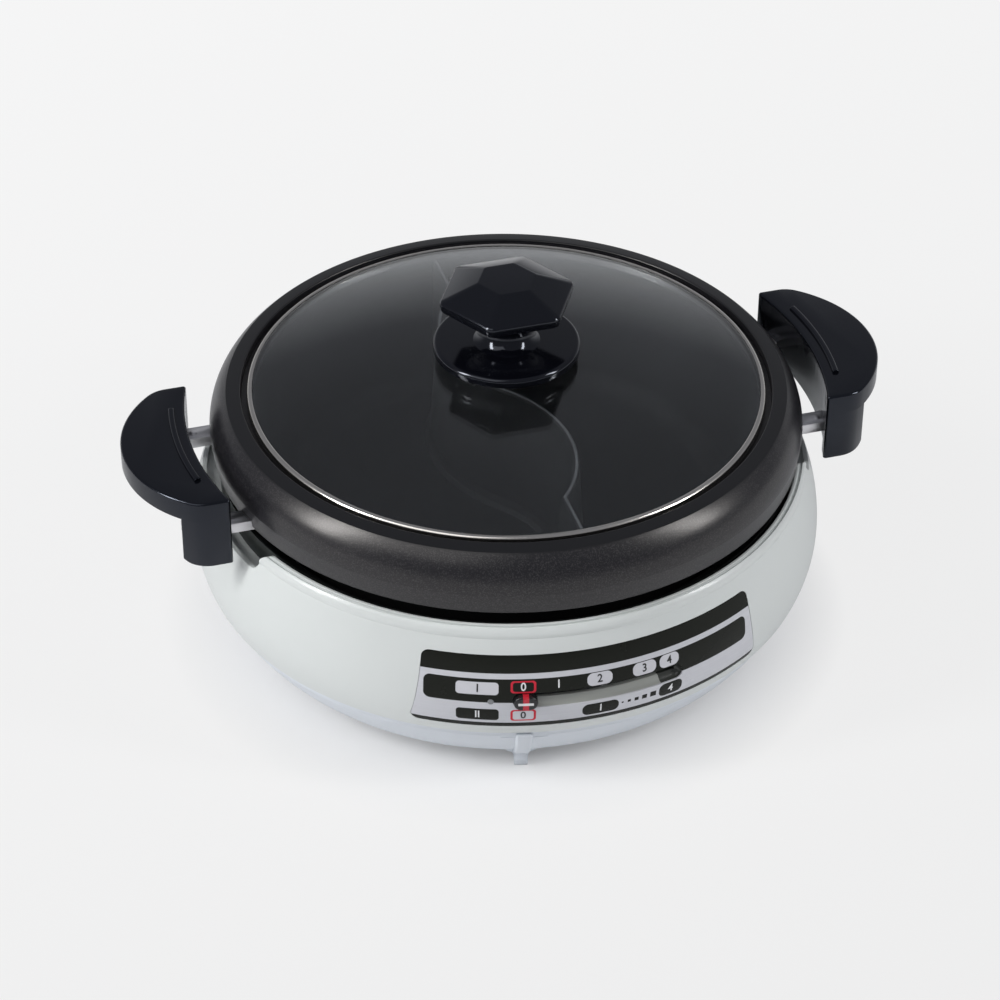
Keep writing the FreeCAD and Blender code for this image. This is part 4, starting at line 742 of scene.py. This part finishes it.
def makeTroughLook():
    look, tree, shader = startLook("printedTrough")
    color = mixTones(tree, cloudNoise(tree, ownPlace(tree), 30.0, 2.0), tone(56, 58, 54),
                     tone(64, 66, 62))
    fillSockets(tree, shader, {
        "Base Color": printOn(tree, color, shellSizes["bellyRadius"], troughMarks),
        "Roughness": wornRough(tree, 0.16, 0.24, 60.0), "Normal": grainBump(tree, 0.0009, 0.05)})
    return look


# plain numbers, printed a hair thick: what it says, angle, height
numberSizes = {"radius": 191.0, "size": 7.6, "narrow": 0.86, "thick": 0.24, "proud": 0.05,
               "bold": 0.12}
paleNumbers = [("0", -13.7, 86.25), ("1", -7.6, 86.9), ("II", -21.6, 66.1), ("1", -0.1, 65.2),
               ("4", 13.2, 65.8)]
darkNumbers = [("I", -21.6, 85.1), ("0", -13.7, 65.7), ("2", -0.33, 86.75), ("3", 7.94, 86.75),
               ("4", 12.8, 86.75)]


def makeNumbers(name, numbers, look):
    # set out flat in a row, then bent round the shell
    n = numberSizes
    labels = []
    for word, angle, height in numbers:
        slope = (bellyRadius(height - 1) - bellyRadius(height + 1)) / 2
        away = bellyRadius(height) - n["radius"] + n["proud"] - n["thick"] / 2
        clearSelection()
        bpy.ops.object.text_add(
            rotation=(math.pi / 2 - math.atan(slope), 0, 0),
            location=(math.radians(angle) * n["radius"] * mm, -away * mm, height * mm))
        label = bpy.context.object
        label.data.body = word
        label.data.size = n["size"] * mm
        label.data.align_x = label.data.align_y = "CENTER"
        label.data.extrude = n["thick"] / 2 * mm
        label.data.offset = n["bold"] * mm
        label.data.resolution_u = 6
        label.scale = (n["narrow"], 1, 1)
        bpy.ops.object.convert(target="MESH")
        bpy.ops.object.transform_apply(location=True, rotation=True, scale=True)
        labels.append(bpy.context.object)
    joinPieces(*labels)
    piece = nameActive(name)
    openMesh(piece)
    bpy.ops.mesh.remove_doubles(threshold=fineGap)
    bpy.ops.mesh.normals_make_consistent(inside=False)
    leaveMesh()
    spread = [corner.co.x for corner in piece.data.vertices]
    bend = piece.modifiers.new("wrap", "SIMPLE_DEFORM")
    bend.deform_method = "BEND"
    bend.deform_axis = "Z"
    bend.angle = (max(spread) - min(spread)) / (n["radius"] * mm)
    bpy.ops.object.modifier_apply(modifier=bend.name)
    placePiece(piece, 0, (0, -n["radius"]))
    return finishPiece(piece, "base", look)


leverSizes = {"radius": 193.0, "angle": -13.3, "height": 76.7}


def makeLeverKnob():
    v = leverSizes
    look, tree, shader = startLook("leverPaint")
    marks = []
    for ink, wide, tall, corner in ((tone(190, 36, 52), 1.7, 9, 0.1),
                                    (tone(225, 225, 225), 4.4, 0.9, 0.3)):
        half = math.degrees(wide / v["radius"])
        marks.append((ink, v["angle"] - half, v["angle"] + half, v["height"] - tall,
                      v["height"] + tall, corner))
    fillSockets(tree, shader, {
        "Base Color": printOn(tree, tone(26, 26, 28), v["radius"], marks),
        "Roughness": wornRough(tree, 0.25, 0.4, 80.0), "Normal": grainBump(tree, 0.0007, 0.08)})
    return weldedCopy("lever_knob", "lever", look, edge=0.3)


panSizes = {
    "mouth": 151.0, "mouthHeight": 157.4, "mouthBend": 1.2, "seatEdge": 153.6, "seat": 160.6,
    "seatWall": 3.2, "rimIn": 159.7, "rimFlat": 168.6, "rimTop": 166.7, "rimEdge": 165.5,
    "rimBend": 0.9, "rimWall": 3.4, "skirt": 179.2, "crease": 142.5, "skirtLow": 177.7,
    "skirtFoot": 129.5, "skirtWall": 2.6, "wall": 4.1, "floor": 138.0, "floorHeight": 76.0,
    "base": 71.0, "baseBend": 18.0, "bend": 16.0, "sink": 0.9,
}
# the blocks that carry the brackets, and the gates in the skirt that the brackets pass
lugSizes = {"from": 132, "to": 152, "low": 123, "high": 134, "near": 39, "far": 51}
gateSizes = {"from": 166, "to": 185, "low": 120, "high": 134.5, "near": 38.5, "far": 51.5}
dividerSizes = {
    "bow": 84.56, "turn": 42.4, "hook": 41.0, "top": 158.4, "halfTop": 0.7, "halfCrest": 1.7,
    "crest": 1.6, "halfLow": 6.4, "halfRoot": 7.6, "root": 3.0, "low": 8.0, "halfFoot": 10.5,
    "reach": 151.0,
}


def makeDivider():
    d = dividerSizes
    floor = panSizes["floorHeight"]
    stages = [(d["halfFoot"], floor - 1, 0), (d["halfRoot"], floor + d["root"], 3),
              (d["halfLow"], floor + d["low"], 6), (d["halfCrest"], d["top"] - d["crest"], 1.2),
              (d["halfTop"], d["top"], 0.8)]
    section = stages + [(-half, height, bend) for half, height, bend in reversed(stages)]
    outline = softPath(section, steps=4)
    side = [point for point in outline if point.x > 0]
    bow = d["bow"]
    turn = math.radians(d["turn"])
    hook = math.radians(d["hook"])
    centerX = bow * math.cos(turn)
    centerY = bow * math.sin(turn)
    hookX = bow * (math.cos(hook) - math.cos(turn))
    hookY = bow * (math.sin(hook) + math.sin(turn))
    halves = []
    for sign, half in ((-1, 0), (1, 180)):
        arc = spinPart(f"dividerBow{half}", [(bow + point.x, point.y) for point in outline],
                       d["hook"] + d["turn"], half - d["turn"],
                       (sign * centerX, sign * centerY), 60)
        corner = (-sign * hookX, sign * hookY)
        web = pushFront(f"dividerWeb{half}", outline, 0, hookY - d["reach"])
        post = spinRound(f"dividerPost{half}", [(0, side[0].y), *side, (0, side[-1].y)], 48)
        combine(arc, placePiece(web, half, corner), "UNION")
        combine(arc, placePiece(post, 0, corner), "UNION")
        halves.append(arc)
    # the two halves run into one S, with no face left between them
    wall = joinPieces(*halves)
    openMesh(wall)
    bpy.ops.mesh.remove_doubles(threshold=fineGap)
    selectMesh("DESELECT")
    bpy.ops.mesh.select_interior_faces()
    bpy.ops.mesh.delete(type="ONLY_FACE")
    leaveMesh()
    return wall


def bowlInside(name):
    # the bowl's hollow, a little into its wall
    p = panSizes
    floor = p["floorHeight"] - 1
    mouth = p["mouthHeight"] + 1
    return spinRound(name, softPath([
        (0, floor, 0), (p["floor"] + p["sink"], floor, p["bend"]),
        (p["mouth"] + p["sink"] + 0.2, mouth, 0), (0, mouth, 0)], steps=8), 144)


def fourBlocks(name, sizes, bend=0):
    outline = boxPath(sizes["from"], sizes["to"], sizes["low"], sizes["high"], bend, 3)
    return fourCorners(pushFront(name, outline, sizes["near"], sizes["far"]))


def makePan(look):
    p = panSizes
    bend = ((p["skirt"] - p["rimFlat"]) ** 2 + (p["rimEdge"] - p["crease"]) ** 2) / (
        2 * (p["skirt"] - p["rimFlat"]))
    skirt = arcRun((p["skirt"], p["crease"]), (p["rimFlat"], p["rimEdge"]), bend, -1, 20)
    wallIn = p["rimIn"] + p["seatWall"]
    under = p["seat"] - p["seatWall"]
    corners = [
        (0, p["base"], 0),
        (p["floor"] + p["wall"] - 1, p["base"], p["baseBend"]),
        (p["mouth"] + p["wall"], under, 1),
        (wallIn, under, 1),
        (wallIn, p["rimEdge"] - 3.0, 1),
        (p["rimFlat"] - 1, p["rimEdge"] - p["rimWall"], 2),
        (p["skirt"] - p["skirtWall"], p["crease"], 4),
        (p["skirtLow"] - p["skirtWall"], p["skirtFoot"], 0.7),
        (p["skirtLow"], p["skirtFoot"], 0.9),
        (p["skirt"], p["crease"], 0.7),
        *skirt,
        (p["rimIn"], p["rimTop"], p["rimBend"]),
        (p["rimIn"], p["seat"], 0.5),
        (p["seatEdge"], p["seat"], 0.8),
        (p["mouth"], p["mouthHeight"], p["mouthBend"]),
        (p["floor"], p["floorHeight"], p["bend"]),
        (0, p["floorHeight"], 0),
    ]
    pan = spinRound("potBody", softPath(corners, steps=8), 288)
    combine(pan, combine(makeDivider(), bowlInside("dividerLimit"), "INTERSECT"), "UNION")
    combine(pan, combine(fourBlocks("lug", lugSizes, 1), bowlInside("lugLimit")), "UNION")
    combine(pan, fourBlocks("gate", gateSizes))
    return finishPiece(pan, "pot", look, ("pan",))


def makeCoatingLook():
    # dark cast metal under a non-stick coat: satin on the rim, finely flaked below it; inside the
    # bowl it is painted darker as painted shade, with a painted highlight on the divider's crest
    look, tree, shader = startLook("potCoat")
    place = ownPlace(tree)
    spot = addNode(tree, "SeparateXYZ", {0: place})
    height = spot.outputs["Z"]
    radius = axisReach(tree, spot)
    rim = mapRange(tree, height, 0.1646, 0.1654)
    flakes = addNode(tree, "TexVoronoi", {"Vector": place, "Scale": 2200.0})
    flake = addNode(tree, "SeparateColor", {0: flakes.outputs["Color"]}).outputs[0]
    ground = mixTones(tree, cloudNoise(tree, place, 12.0, 3.0), tone(24, 24, 28),
                      tone(28, 28, 32))
    flaked = mixTones(tree, mapRange(tree, flake, 0.6, 1.0, 0.0, 0.17), ground,
                      tone(120, 117, 117))
    outer = mixTones(tree, rim, flaked, tone(20, 21, 24))
    # painted highlight: the dividing wall's crest is painted lighter, standing in for light caught
    # along its edge
    crest = calculate(tree, "MULTIPLY", mapRange(tree, height, 0.1580, 0.1583),
                      calculate(tree, "LESS_THAN", radius, 0.1495))
    # painted shade: inside the bowl the coat is painted darker than outside, and the crest's
    # painted highlight lies on that
    inner = mixTones(tree, crest, tone(14, 15, 18), tone(84, 84, 86))
    inside = calculate(tree, "LESS_THAN", radius, 0.1515)
    dull = calculate(tree, "ADD", wornRough(tree, 0.28, 0.31),
                     calculate(tree, "MULTIPLY", inside, 0.45))
    fillSockets(tree, shader, {
        "Base Color": mixTones(tree, inside, outer, inner), "Roughness": dull,
        "Normal": grainBump(tree, 0.0008, mapRange(tree, rim, 0.0, 1.0, 0.24, 0.05)),
        "Specular Tint": tone(255, 251, 247)})
    return look


gripSizes = {
    "inner": 193.5, "innerBend": 1.6, "tip": 235.0, "outer": 74.1, "halfWide": 61.0,
    "top": 159.0, "rim": 13.0, "rimWall": 3.5, "cap": 4.0, "corner": 18.0, "edge": 2.0,
    "legWide": 9.0, "legLow": 114.0, "heel": 7.0, "step": 1.2, "wall": 4.0, "wallLow": 122.0,
    "wallBend": 0.8, "wallSink": 3.0, "ribIn": 199.5, "ribOut": 203.5, "ribRise": 1.9,
    "ribBend": 1.5, "ribEdge": 0.6, "ribDegrees": 21.2, "legEdge": 1.1, "windowIn": 179.0,
    "windowOut": 198.0, "windowLow": 127.0, "windowTop": 134.5, "windowNear": 38.5,
    "windowFar": 51.5,
}


def gripOutline(inner, inset, half, corner):
    # a crescent from above: round outside, hollow towards the pot
    g = gripSizes
    middle = g["tip"] - g["outer"]
    radius = g["outer"] - inset
    reach = math.sqrt((radius - corner) ** 2 - (half - corner) ** 2)
    grow = radius / (radius - corner)
    endX = middle + reach
    touch = (middle + reach * grow, (half - corner) * grow)
    innerX = math.sqrt(inner ** 2 - half ** 2)
    innerBend = g["innerBend"] if corner else 0
    corners = [(innerX, -half, innerBend), (endX, -half, 0)]
    if corner:
        corners += arcRun((endX, -half), (touch[0], -touch[1]), corner, -1, 10)
    corners += arcRun((touch[0], -touch[1]), touch, radius, -1, 40)
    if corner:
        corners += arcRun(touch, (endX, half), corner, -1, 10)
    corners += [(innerX, half, innerBend)]
    corners += arcRun((innerX, half), (innerX, -half), inner, 1, 20)[:-1]
    return softPath(corners, steps=4)


def makeGrip(name):
    g = gripSizes
    top = g["top"]
    low = top - g["rim"]
    under = top - g["cap"]
    legHalf = g["halfWide"] - g["legWide"]
    wallOut = g["inner"] + g["wall"]
    grip = raiseFlat(name, gripOutline(g["inner"], 0, g["halfWide"], g["corner"]), low, top)
    chooseEdges(grip, lambda a, b: a.z > top - 0.01 and b.z > top - 0.01)
    bevelChosen(g["edge"], 4)
    combine(grip, raiseFlat("gripHollow", gripOutline(wallOut, g["rimWall"], legHalf, 0),
                            low - 5, under))
    half = math.degrees(math.asin(g["halfWide"] / wallOut))
    wall = spinPart("gripWall", softPath([
        (g["inner"], g["wallLow"], g["wallBend"]), (wallOut, g["wallLow"], g["wallBend"]),
        (wallOut, top - g["wallSink"], 0), (g["inner"], top - g["wallSink"], 0)]),
        2 * half - 0.4, -half + 0.2)
    combine(grip, wall, "UNION")
    far = g["tip"] - g["outer"] + math.sqrt(g["outer"] ** 2 - legHalf ** 2)
    for side in (-1, 1):
        leg = raiseFlat("gripLeg", gripOutline(g["inner"], g["step"], g["halfWide"], g["corner"]),
                        g["legLow"], under)
        slab = softPath([(150, g["legLow"], 0), (far, g["legLow"], g["heel"]), (far, top, 0),
                         (150, top, 0)], steps=8)
        combine(leg, pushFront("gripSlab", slab, side * legHalf, side * (g["halfWide"] + 3)),
                "INTERSECT")
        chooseEdges(leg, lambda a, b: True, sharp=50)
        bevelChosen(g["legEdge"])
        combine(grip, leg, "UNION")
    rib = spinPart("gripRib", softPath([
        (g["ribIn"], top - 1, 0), (g["ribOut"], top - 1, 0),
        (g["ribOut"], top + g["ribRise"], g["ribBend"]),
        (g["ribIn"], top + g["ribRise"], g["ribBend"])], steps=5),
        g["ribDegrees"], -g["ribDegrees"] / 2)
    chooseEdges(rib, lambda a, b: a.z > top - 0.9 and b.z > top - 0.9, sharp=50)
    bevelChosen(g["ribEdge"])
    combine(grip, rib, "UNION")
    window = boxPath(g["windowIn"], g["windowOut"], g["windowLow"], g["windowTop"])
    for side in (-1, 1):
        combine(grip, pushFront("gripWindow", window, side * g["windowNear"],
                                side * g["windowFar"]))
    return grip


lidSizes = {
    "rim": 156.0, "band": 0.6, "lap": 3.0, "seat": 160.9, "glass": 4.0, "rise": 22.0,
    "edge": 155.1, "round": 0.8, "hole": 4.5, "glassLow": 161.5, "edgeHeight": 165.5,
    "rimDrop": 0.9, "crown": 2.1, "gap": 0.05,
}


def domeHeight(radius):
    s = lidSizes
    bow = (s["edge"] ** 2 + s["rise"] ** 2) / (2 * s["rise"])
    return s["edgeHeight"] + s["rise"] - bow + math.sqrt(bow ** 2 - radius ** 2)


def domeRun(start, end, drop, steps):
    return [(radius, domeHeight(radius) - drop, 0) for radius in evenSteps(start, end, steps)]


def makeGlass(look):
    s = lidSizes
    corners = domeRun(s["hole"], s["edge"] - s["round"], 0, 48)
    corners += [(s["edge"], s["edgeHeight"] - 0.6, 0), (s["edge"], s["glassLow"] + 0.6, 0)]
    corners += domeRun(s["edge"] - s["round"], s["hole"], s["glass"], 48)
    glass = spinRound("lidGlass", softPath(corners), 288)
    return finishPiece(glass, "lid", look, ("lid_glass",), smooth=40)


def makeLidRim(look):
    s = lidSizes
    lap = s["rim"] - s["lap"]
    low = s["seat"]
    top = s["edgeHeight"] + s["gap"] + s["band"]
    lapTop = domeHeight(lap) + s["gap"]
    edge = top - s["rimDrop"]
    inside = s["rim"] - s["band"]
    corners = [(s["rim"], edge, 0)]
    corners += arcRun((s["rim"], edge), (lap, lapTop + 0.15), s["crown"], -1, 14)
    corners += [
        (lap, lapTop, 0), (inside - 0.2, top - s["band"] - 0.1, 0.1), (inside, edge - 1, 0),
        (inside, low + s["band"], 0), (lap, low + s["band"], 0), (lap, low, 0),
        (s["rim"], low, 0.5),
    ]
    rim = spinRound("lidBand", softPath(corners, steps=4), 288)
    return finishPiece(rim, "lid", look, ("lid_rim",))


def makeGlassLook():
    look, tree, shader = startLook("temperedGlass")
    fillSockets(tree, shader, {
        "Base Color": tone(232, 236, 238), "Roughness": wornRough(tree, 0.0, 0.012, 14.0),
        "Transmission Weight": 1.0, "IOR": 1.5})
    clear = addNode(tree, "BsdfTransparent", {"Color": tone(205, 208, 210)})
    showMix(tree, addNode(tree, "LightPath").outputs["Is Shadow Ray"], shader, clear)
    return look


knobSizes = {
    "bore": 3.0, "under": 188.6, "underRadius": 30.0, "underStep": 33.0, "flange": 44.0,
    "flangeTop": 197.0, "flangeEdge": 6.0, "flangeBend": 2.6, "neckFoot": 20.0, "neck": 13.5,
    "neckHeight": 209.0, "neckHead": 29.0, "footBow": 11.5, "headBow": 19.0, "sink": 0.4,
    "hexLow": 223.5, "hex": 42.0, "hexEdge": 6.4, "hexCorner": 6.0, "hexStep": 0.5,
    "hexBand": 2.6, "crown": 18.0, "crownRise": 9.7, "topEdge": 1.4, "underEdge": 1.6,
    "crownEdge": 0.6,
}


def makeFlange(look):
    k = knobSizes
    low = k["flangeTop"] - k["flangeEdge"]
    flange = spinRound("knobFlange", softPath([
        (k["bore"], k["under"], 0), (k["underRadius"], k["under"], 0.5), (k["underStep"], low, 1),
        (k["flange"], low, 0.8), (k["flange"], k["flangeTop"], k["flangeBend"]),
        (k["bore"], k["flangeTop"], 0)], steps=6), 192)
    return finishPiece(flange, "lid", look, ("knob_flange",))


def hexOutline(radius, corner):
    turns = [math.radians(60 * number) for number in range(6)]
    return softPath([(radius * math.cos(turn), radius * math.sin(turn), corner)
                     for turn in turns], steps=6)


def makeKnob(look):
    k = knobSizes
    low = k["hexLow"]
    edgeTop = low + k["hexEdge"]
    inner = k["hex"] - k["hexStep"]
    knob = raiseFlat("knobGrip", hexOutline(inner, k["hexCorner"]), low, edgeTop - k["hexBand"])
    pickPiece(knob)
    enterMesh()
    bpy.ops.mesh.select_mode(type="FACE")
    selectMesh("DESELECT")
    leaveMesh()
    for face in knob.data.polygons:
        face.select = face.normal.z > 0.9
    enterMesh()
    for rise, wide in ((0, k["hex"] / inner), (k["hexBand"], 1),
                       (k["crownRise"], k["crown"] / k["hex"])):
        bpy.ops.mesh.extrude_region_move(TRANSFORM_OT_translate={"value": (0, 0, rise * mm)})
        bpy.ops.transform.resize(value=(wide, wide, 1), center_override=(0, 0, 0))
    bpy.ops.mesh.select_mode(type="VERT")
    leaveMesh()
    for height, width, segments in ((edgeTop, k["topEdge"], 4), (low, k["underEdge"], 4),
                                    (edgeTop + k["crownRise"], k["crownEdge"], 3)):
        chooseEdges(knob, lambda a, b: abs(a.z - height) < 0.01 and abs(b.z - height) < 0.01,
                    sharp=12)
        bevelChosen(width, segments)
    foot = (k["neckFoot"], k["flangeTop"])
    waist = (k["neck"], k["neckHeight"])
    head = (k["neckHead"], low + k["sink"])
    neck = [(0, k["flangeTop"], 0), (*foot, 0), *arcRun(foot, waist, k["footBow"], 1, 10),
            *arcRun(waist, head, k["headBow"], 1, 12), (0, low + k["sink"], 0)]
    combine(knob, spinRound("knobNeck", softPath(neck), 96), "UNION")
    return finishPiece(knob, "lid", look, ("knob_grip",), smooth=15)


# each plastic: name, two tones, roughness new and worn, grain size and depth
shellLook = plasticLook("shellPaint", tone(211, 215, 213), tone(214, 218, 216), 0.36, 0.42,
                        0.0011, 0.08, {"Coat Weight": 0.2, "Coat Roughness": 0.06})
housingLook = plasticLook("housingPlastic", tone(214, 219, 225), tone(217, 222, 228), 0.42, 0.5,
                          0.0009, 0.15)
rubberLook = plasticLook("footRubber", tone(205, 208, 212), tone(212, 215, 219), 0.6, 0.7,
                         0.0005, 0.4)
gripLook = plasticLook("gripPlastic", tone(5, 6, 10), tone(7, 8, 13), 0.13, 0.18,
                       0.0010, 0.04, {"Specular Tint": tone(228, 236, 255)})
knobLook = plasticLook("knobPlastic", tone(7, 8, 13), tone(9, 10, 16), 0.10, 0.13,
                       0.0012, 0.015, {"Specular Tint": tone(236, 242, 255)})
ceramicLook = plasticLook("ceramicRest", tone(214, 208, 196), tone(224, 218, 206), 0.5, 0.6,
                          0.0006, 0.3)
lensLook = plasticLook("lensPlastic", tone(120, 122, 124), tone(132, 134, 136), 0.12, 0.2,
                       0.0008, 0.03, {"Coat Weight": 0.6, "Coat Roughness": 0.06})
paleInk = plasticLook("paleInk", tone(226, 227, 228), tone(232, 233, 234), 0.5, 0.6, 0.0006, 0.1)
darkInk = plasticLook("darkInk", tone(22, 23, 22), tone(28, 29, 28), 0.5, 0.6, 0.0006, 0.1)
# each metal: name, two tones, roughness new and worn, how the noise is stretched
guardLook = metalLook("guardSteel", tone(84, 88, 86), tone(94, 98, 96), 0.42, 0.5,
                      (1.0, 1.0, 30.0))
steelLook = metalLook("bracketSteel", tone(226, 225, 227), tone(238, 237, 239), 0.42, 0.52,
                      (1.0, 30.0, 30.0))
rimLook = metalLook("rimSteel", tone(214, 210, 204), tone(224, 220, 214), 0.2, 0.24,
                    (1.0, 1.0, 40.0), 0.0)
dishLook = metalLook("dishSteel", tone(170, 170, 172), tone(190, 190, 192), 0.3, 0.42,
                     (1.0, 1.0, 20.0))
elementLook = metalLook("elementSheath", tone(74, 70, 66), tone(92, 86, 80), 0.5, 0.62,
                        (1.0, 1.0, 1.0), 0.3)
coatLook = makeCoatingLook()
glassLook = makeGlassLook()
panelLook = makePanelLook()
troughLook = makeTroughLook()
print("looks ready")

makeShell(shellLook)
makeHousing(housingLook)
print("shell done")
makePanel(panelLook)
makeNumbers("numbersPale", paleNumbers, paleInk)
makeNumbers("numbersDark", darkNumbers, darkInk)
print("panel done")
makePan(coatLook)
print("pan done")
rightGrip = makeGrip("gripRight")
leftGrip = mirrorCopy(rightGrip, "gripLeft", "X")
finishPiece(rightGrip, "pot", gripLook, ("handle_right",))
finishPiece(leftGrip, "pot", gripLook, ("handle_left",))
print("handles done")
makeGlass(glassLook)
makeLidRim(rimLook)
makeFlange(knobLook)
makeKnob(knobLook)
print("lid done")
makeLeverKnob()
for node, slot, look, edge in (("foot_pads", "foot_rubber", rubberLook, 0.3),
                               ("slot_bezel", "black_trim", troughLook, 0.2),
                               ("indicator_lens", "lens", lensLook, 0.2),
                               ("guard_ring", "dark_steel", guardLook, 0.0)):
    weldedCopy(node, "base", look, edge)
for node in ("bracket_right_front", "bracket_right_rear", "bracket_left_front",
             "bracket_left_rear", "bracket_rivets"):
    weldedCopy(node, "pot", steelLook, 0.3)
print("frame parts welded")

# parts that stay as the frame has them
for look, nodes in (
        (steelLook, ("housing_screws", "element_clips", "inlet_pins", "lever_shaft",
                     "lever_nut", "handle_screws", "knob_washer", "knob_bolt")),
        (dishLook, ("reflector_dish", "sensor_cap", "thermostat_strap", "thermal_fuse",
                    "lever_arm")),
        (ceramicLook, ("pot_rests", "thermostat", "terminal_block")),
        (elementLook, ("heating_element",)), (lensLook, ("indicator_lamp",)),
        (gripLook, ("inlet_housing",)), (rubberLook, ("knob_gasket",))):
    for node in nodes:
        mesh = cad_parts[node].data
        mesh.materials.clear()
        mesh.materials.append(look)


def makeStage():
    clearSelection()
    bpy.ops.mesh.primitive_plane_add(size=30)
    floor = nameActive("studioFloor")
    look, tree, shader = startLook("studioPaper")
    place = ownPlace(tree)
    spot = addNode(tree, "SeparateXYZ", {0: place})
    paper = mixTones(tree, cloudNoise(tree, place, 1.2, 2.0), tone(236, 236, 236),
                     tone(238, 238, 238))
    fillSockets(tree, shader, {"Base Color": paper, "Roughness": 0.9, "Specular IOR Level": 0.1})
    # seen directly or through glass, the paper is evenly pale; it keeps its shadows
    rays = addNode(tree, "LightPath")
    seen = calculate(tree, "MAXIMUM", rays.outputs["Is Camera Ray"],
                     rays.outputs["Is Transmission Ray"])
    # a shade paler far behind the object than near its front
    glow = addNode(tree, "Emission", {"Strength": 1.0, "Color": mixTones(
        tree, mapRange(tree, spot.outputs["Y"], -0.5, 1.4), tone(239, 239, 239),
        tone(255, 255, 255))})
    share = mapRange(tree, axisReach(tree, spot), 0.150, 0.215, 0.15, 0.88)
    showMix(tree, calculate(tree, "MULTIPLY", seen, share), shader, glow)
    floor.data.materials.append(look)


def makeWorld():
    # an even grey room, paler low down behind the table
    world = bpy.data.worlds.new("studio")
    bpy.context.scene.world = world
    world.use_nodes = True
    tree = world.node_tree
    way = addNode(tree, "SeparateXYZ", {0: addNode(tree, "TexCoord").outputs["Generated"]})
    ahead = calculate(tree, "ADD", calculate(tree, "MULTIPLY", way.outputs["X"], 0.29),
                      calculate(tree, "MULTIPLY", way.outputs["Y"], 0.957))
    pale = calculate(tree, "MULTIPLY", mapRange(tree, ahead, 0.35, 0.85),
                     mapRange(tree, way.outputs["Z"], 0.42, 0.08))
    color = mixTones(tree, pale, (0.21, 0.215, 0.235, 1), (0.66, 0.67, 0.69, 1))
    tree.links.new(color, tree.nodes["Background"].inputs["Color"])


def addLamp(name, place, size, tall, power):
    lamp = bpy.data.lights.new(name, "AREA")
    lamp.shape = "RECTANGLE"
    lamp.size = size
    lamp.size_y = tall
    lamp.energy = power
    holder = linkObject(bpy.data.objects.new(name, lamp))
    holder.location = place
    aim = Vector((0, 0, 0.1)) - Vector(place)
    holder.rotation_euler = aim.to_track_quat("-Z", "Y").to_euler()


makeStage()
addLamp("leftLight", (-2.24, -0.16, 1.46), 0.46, 1.45, 42)
addLamp("rightLight", (1.88, -1.18, 1.40), 0.36, 1.35, 26)
addLamp("fillLight", (-1.33, -1.00, 2.10), 1.8, 1.8, 12)
makeWorld()

camera = bpy.data.cameras.new("camera")
camera.lens = 118.8
camera.sensor_width = 36
camera.clip_start = 0.05
viewer = linkObject(bpy.data.objects.new("camera", camera))
viewer.location = (-0.479087, -1.565293, 1.291720)
viewer.rotation_euler = tuple(math.radians(turn) for turn in (53.43213, -0.28110, -16.69148))
bpy.context.scene.camera = viewer
bpy.context.scene.view_settings.view_transform = "Standard"
print("stage set")

bpy.context.view_layer.update()
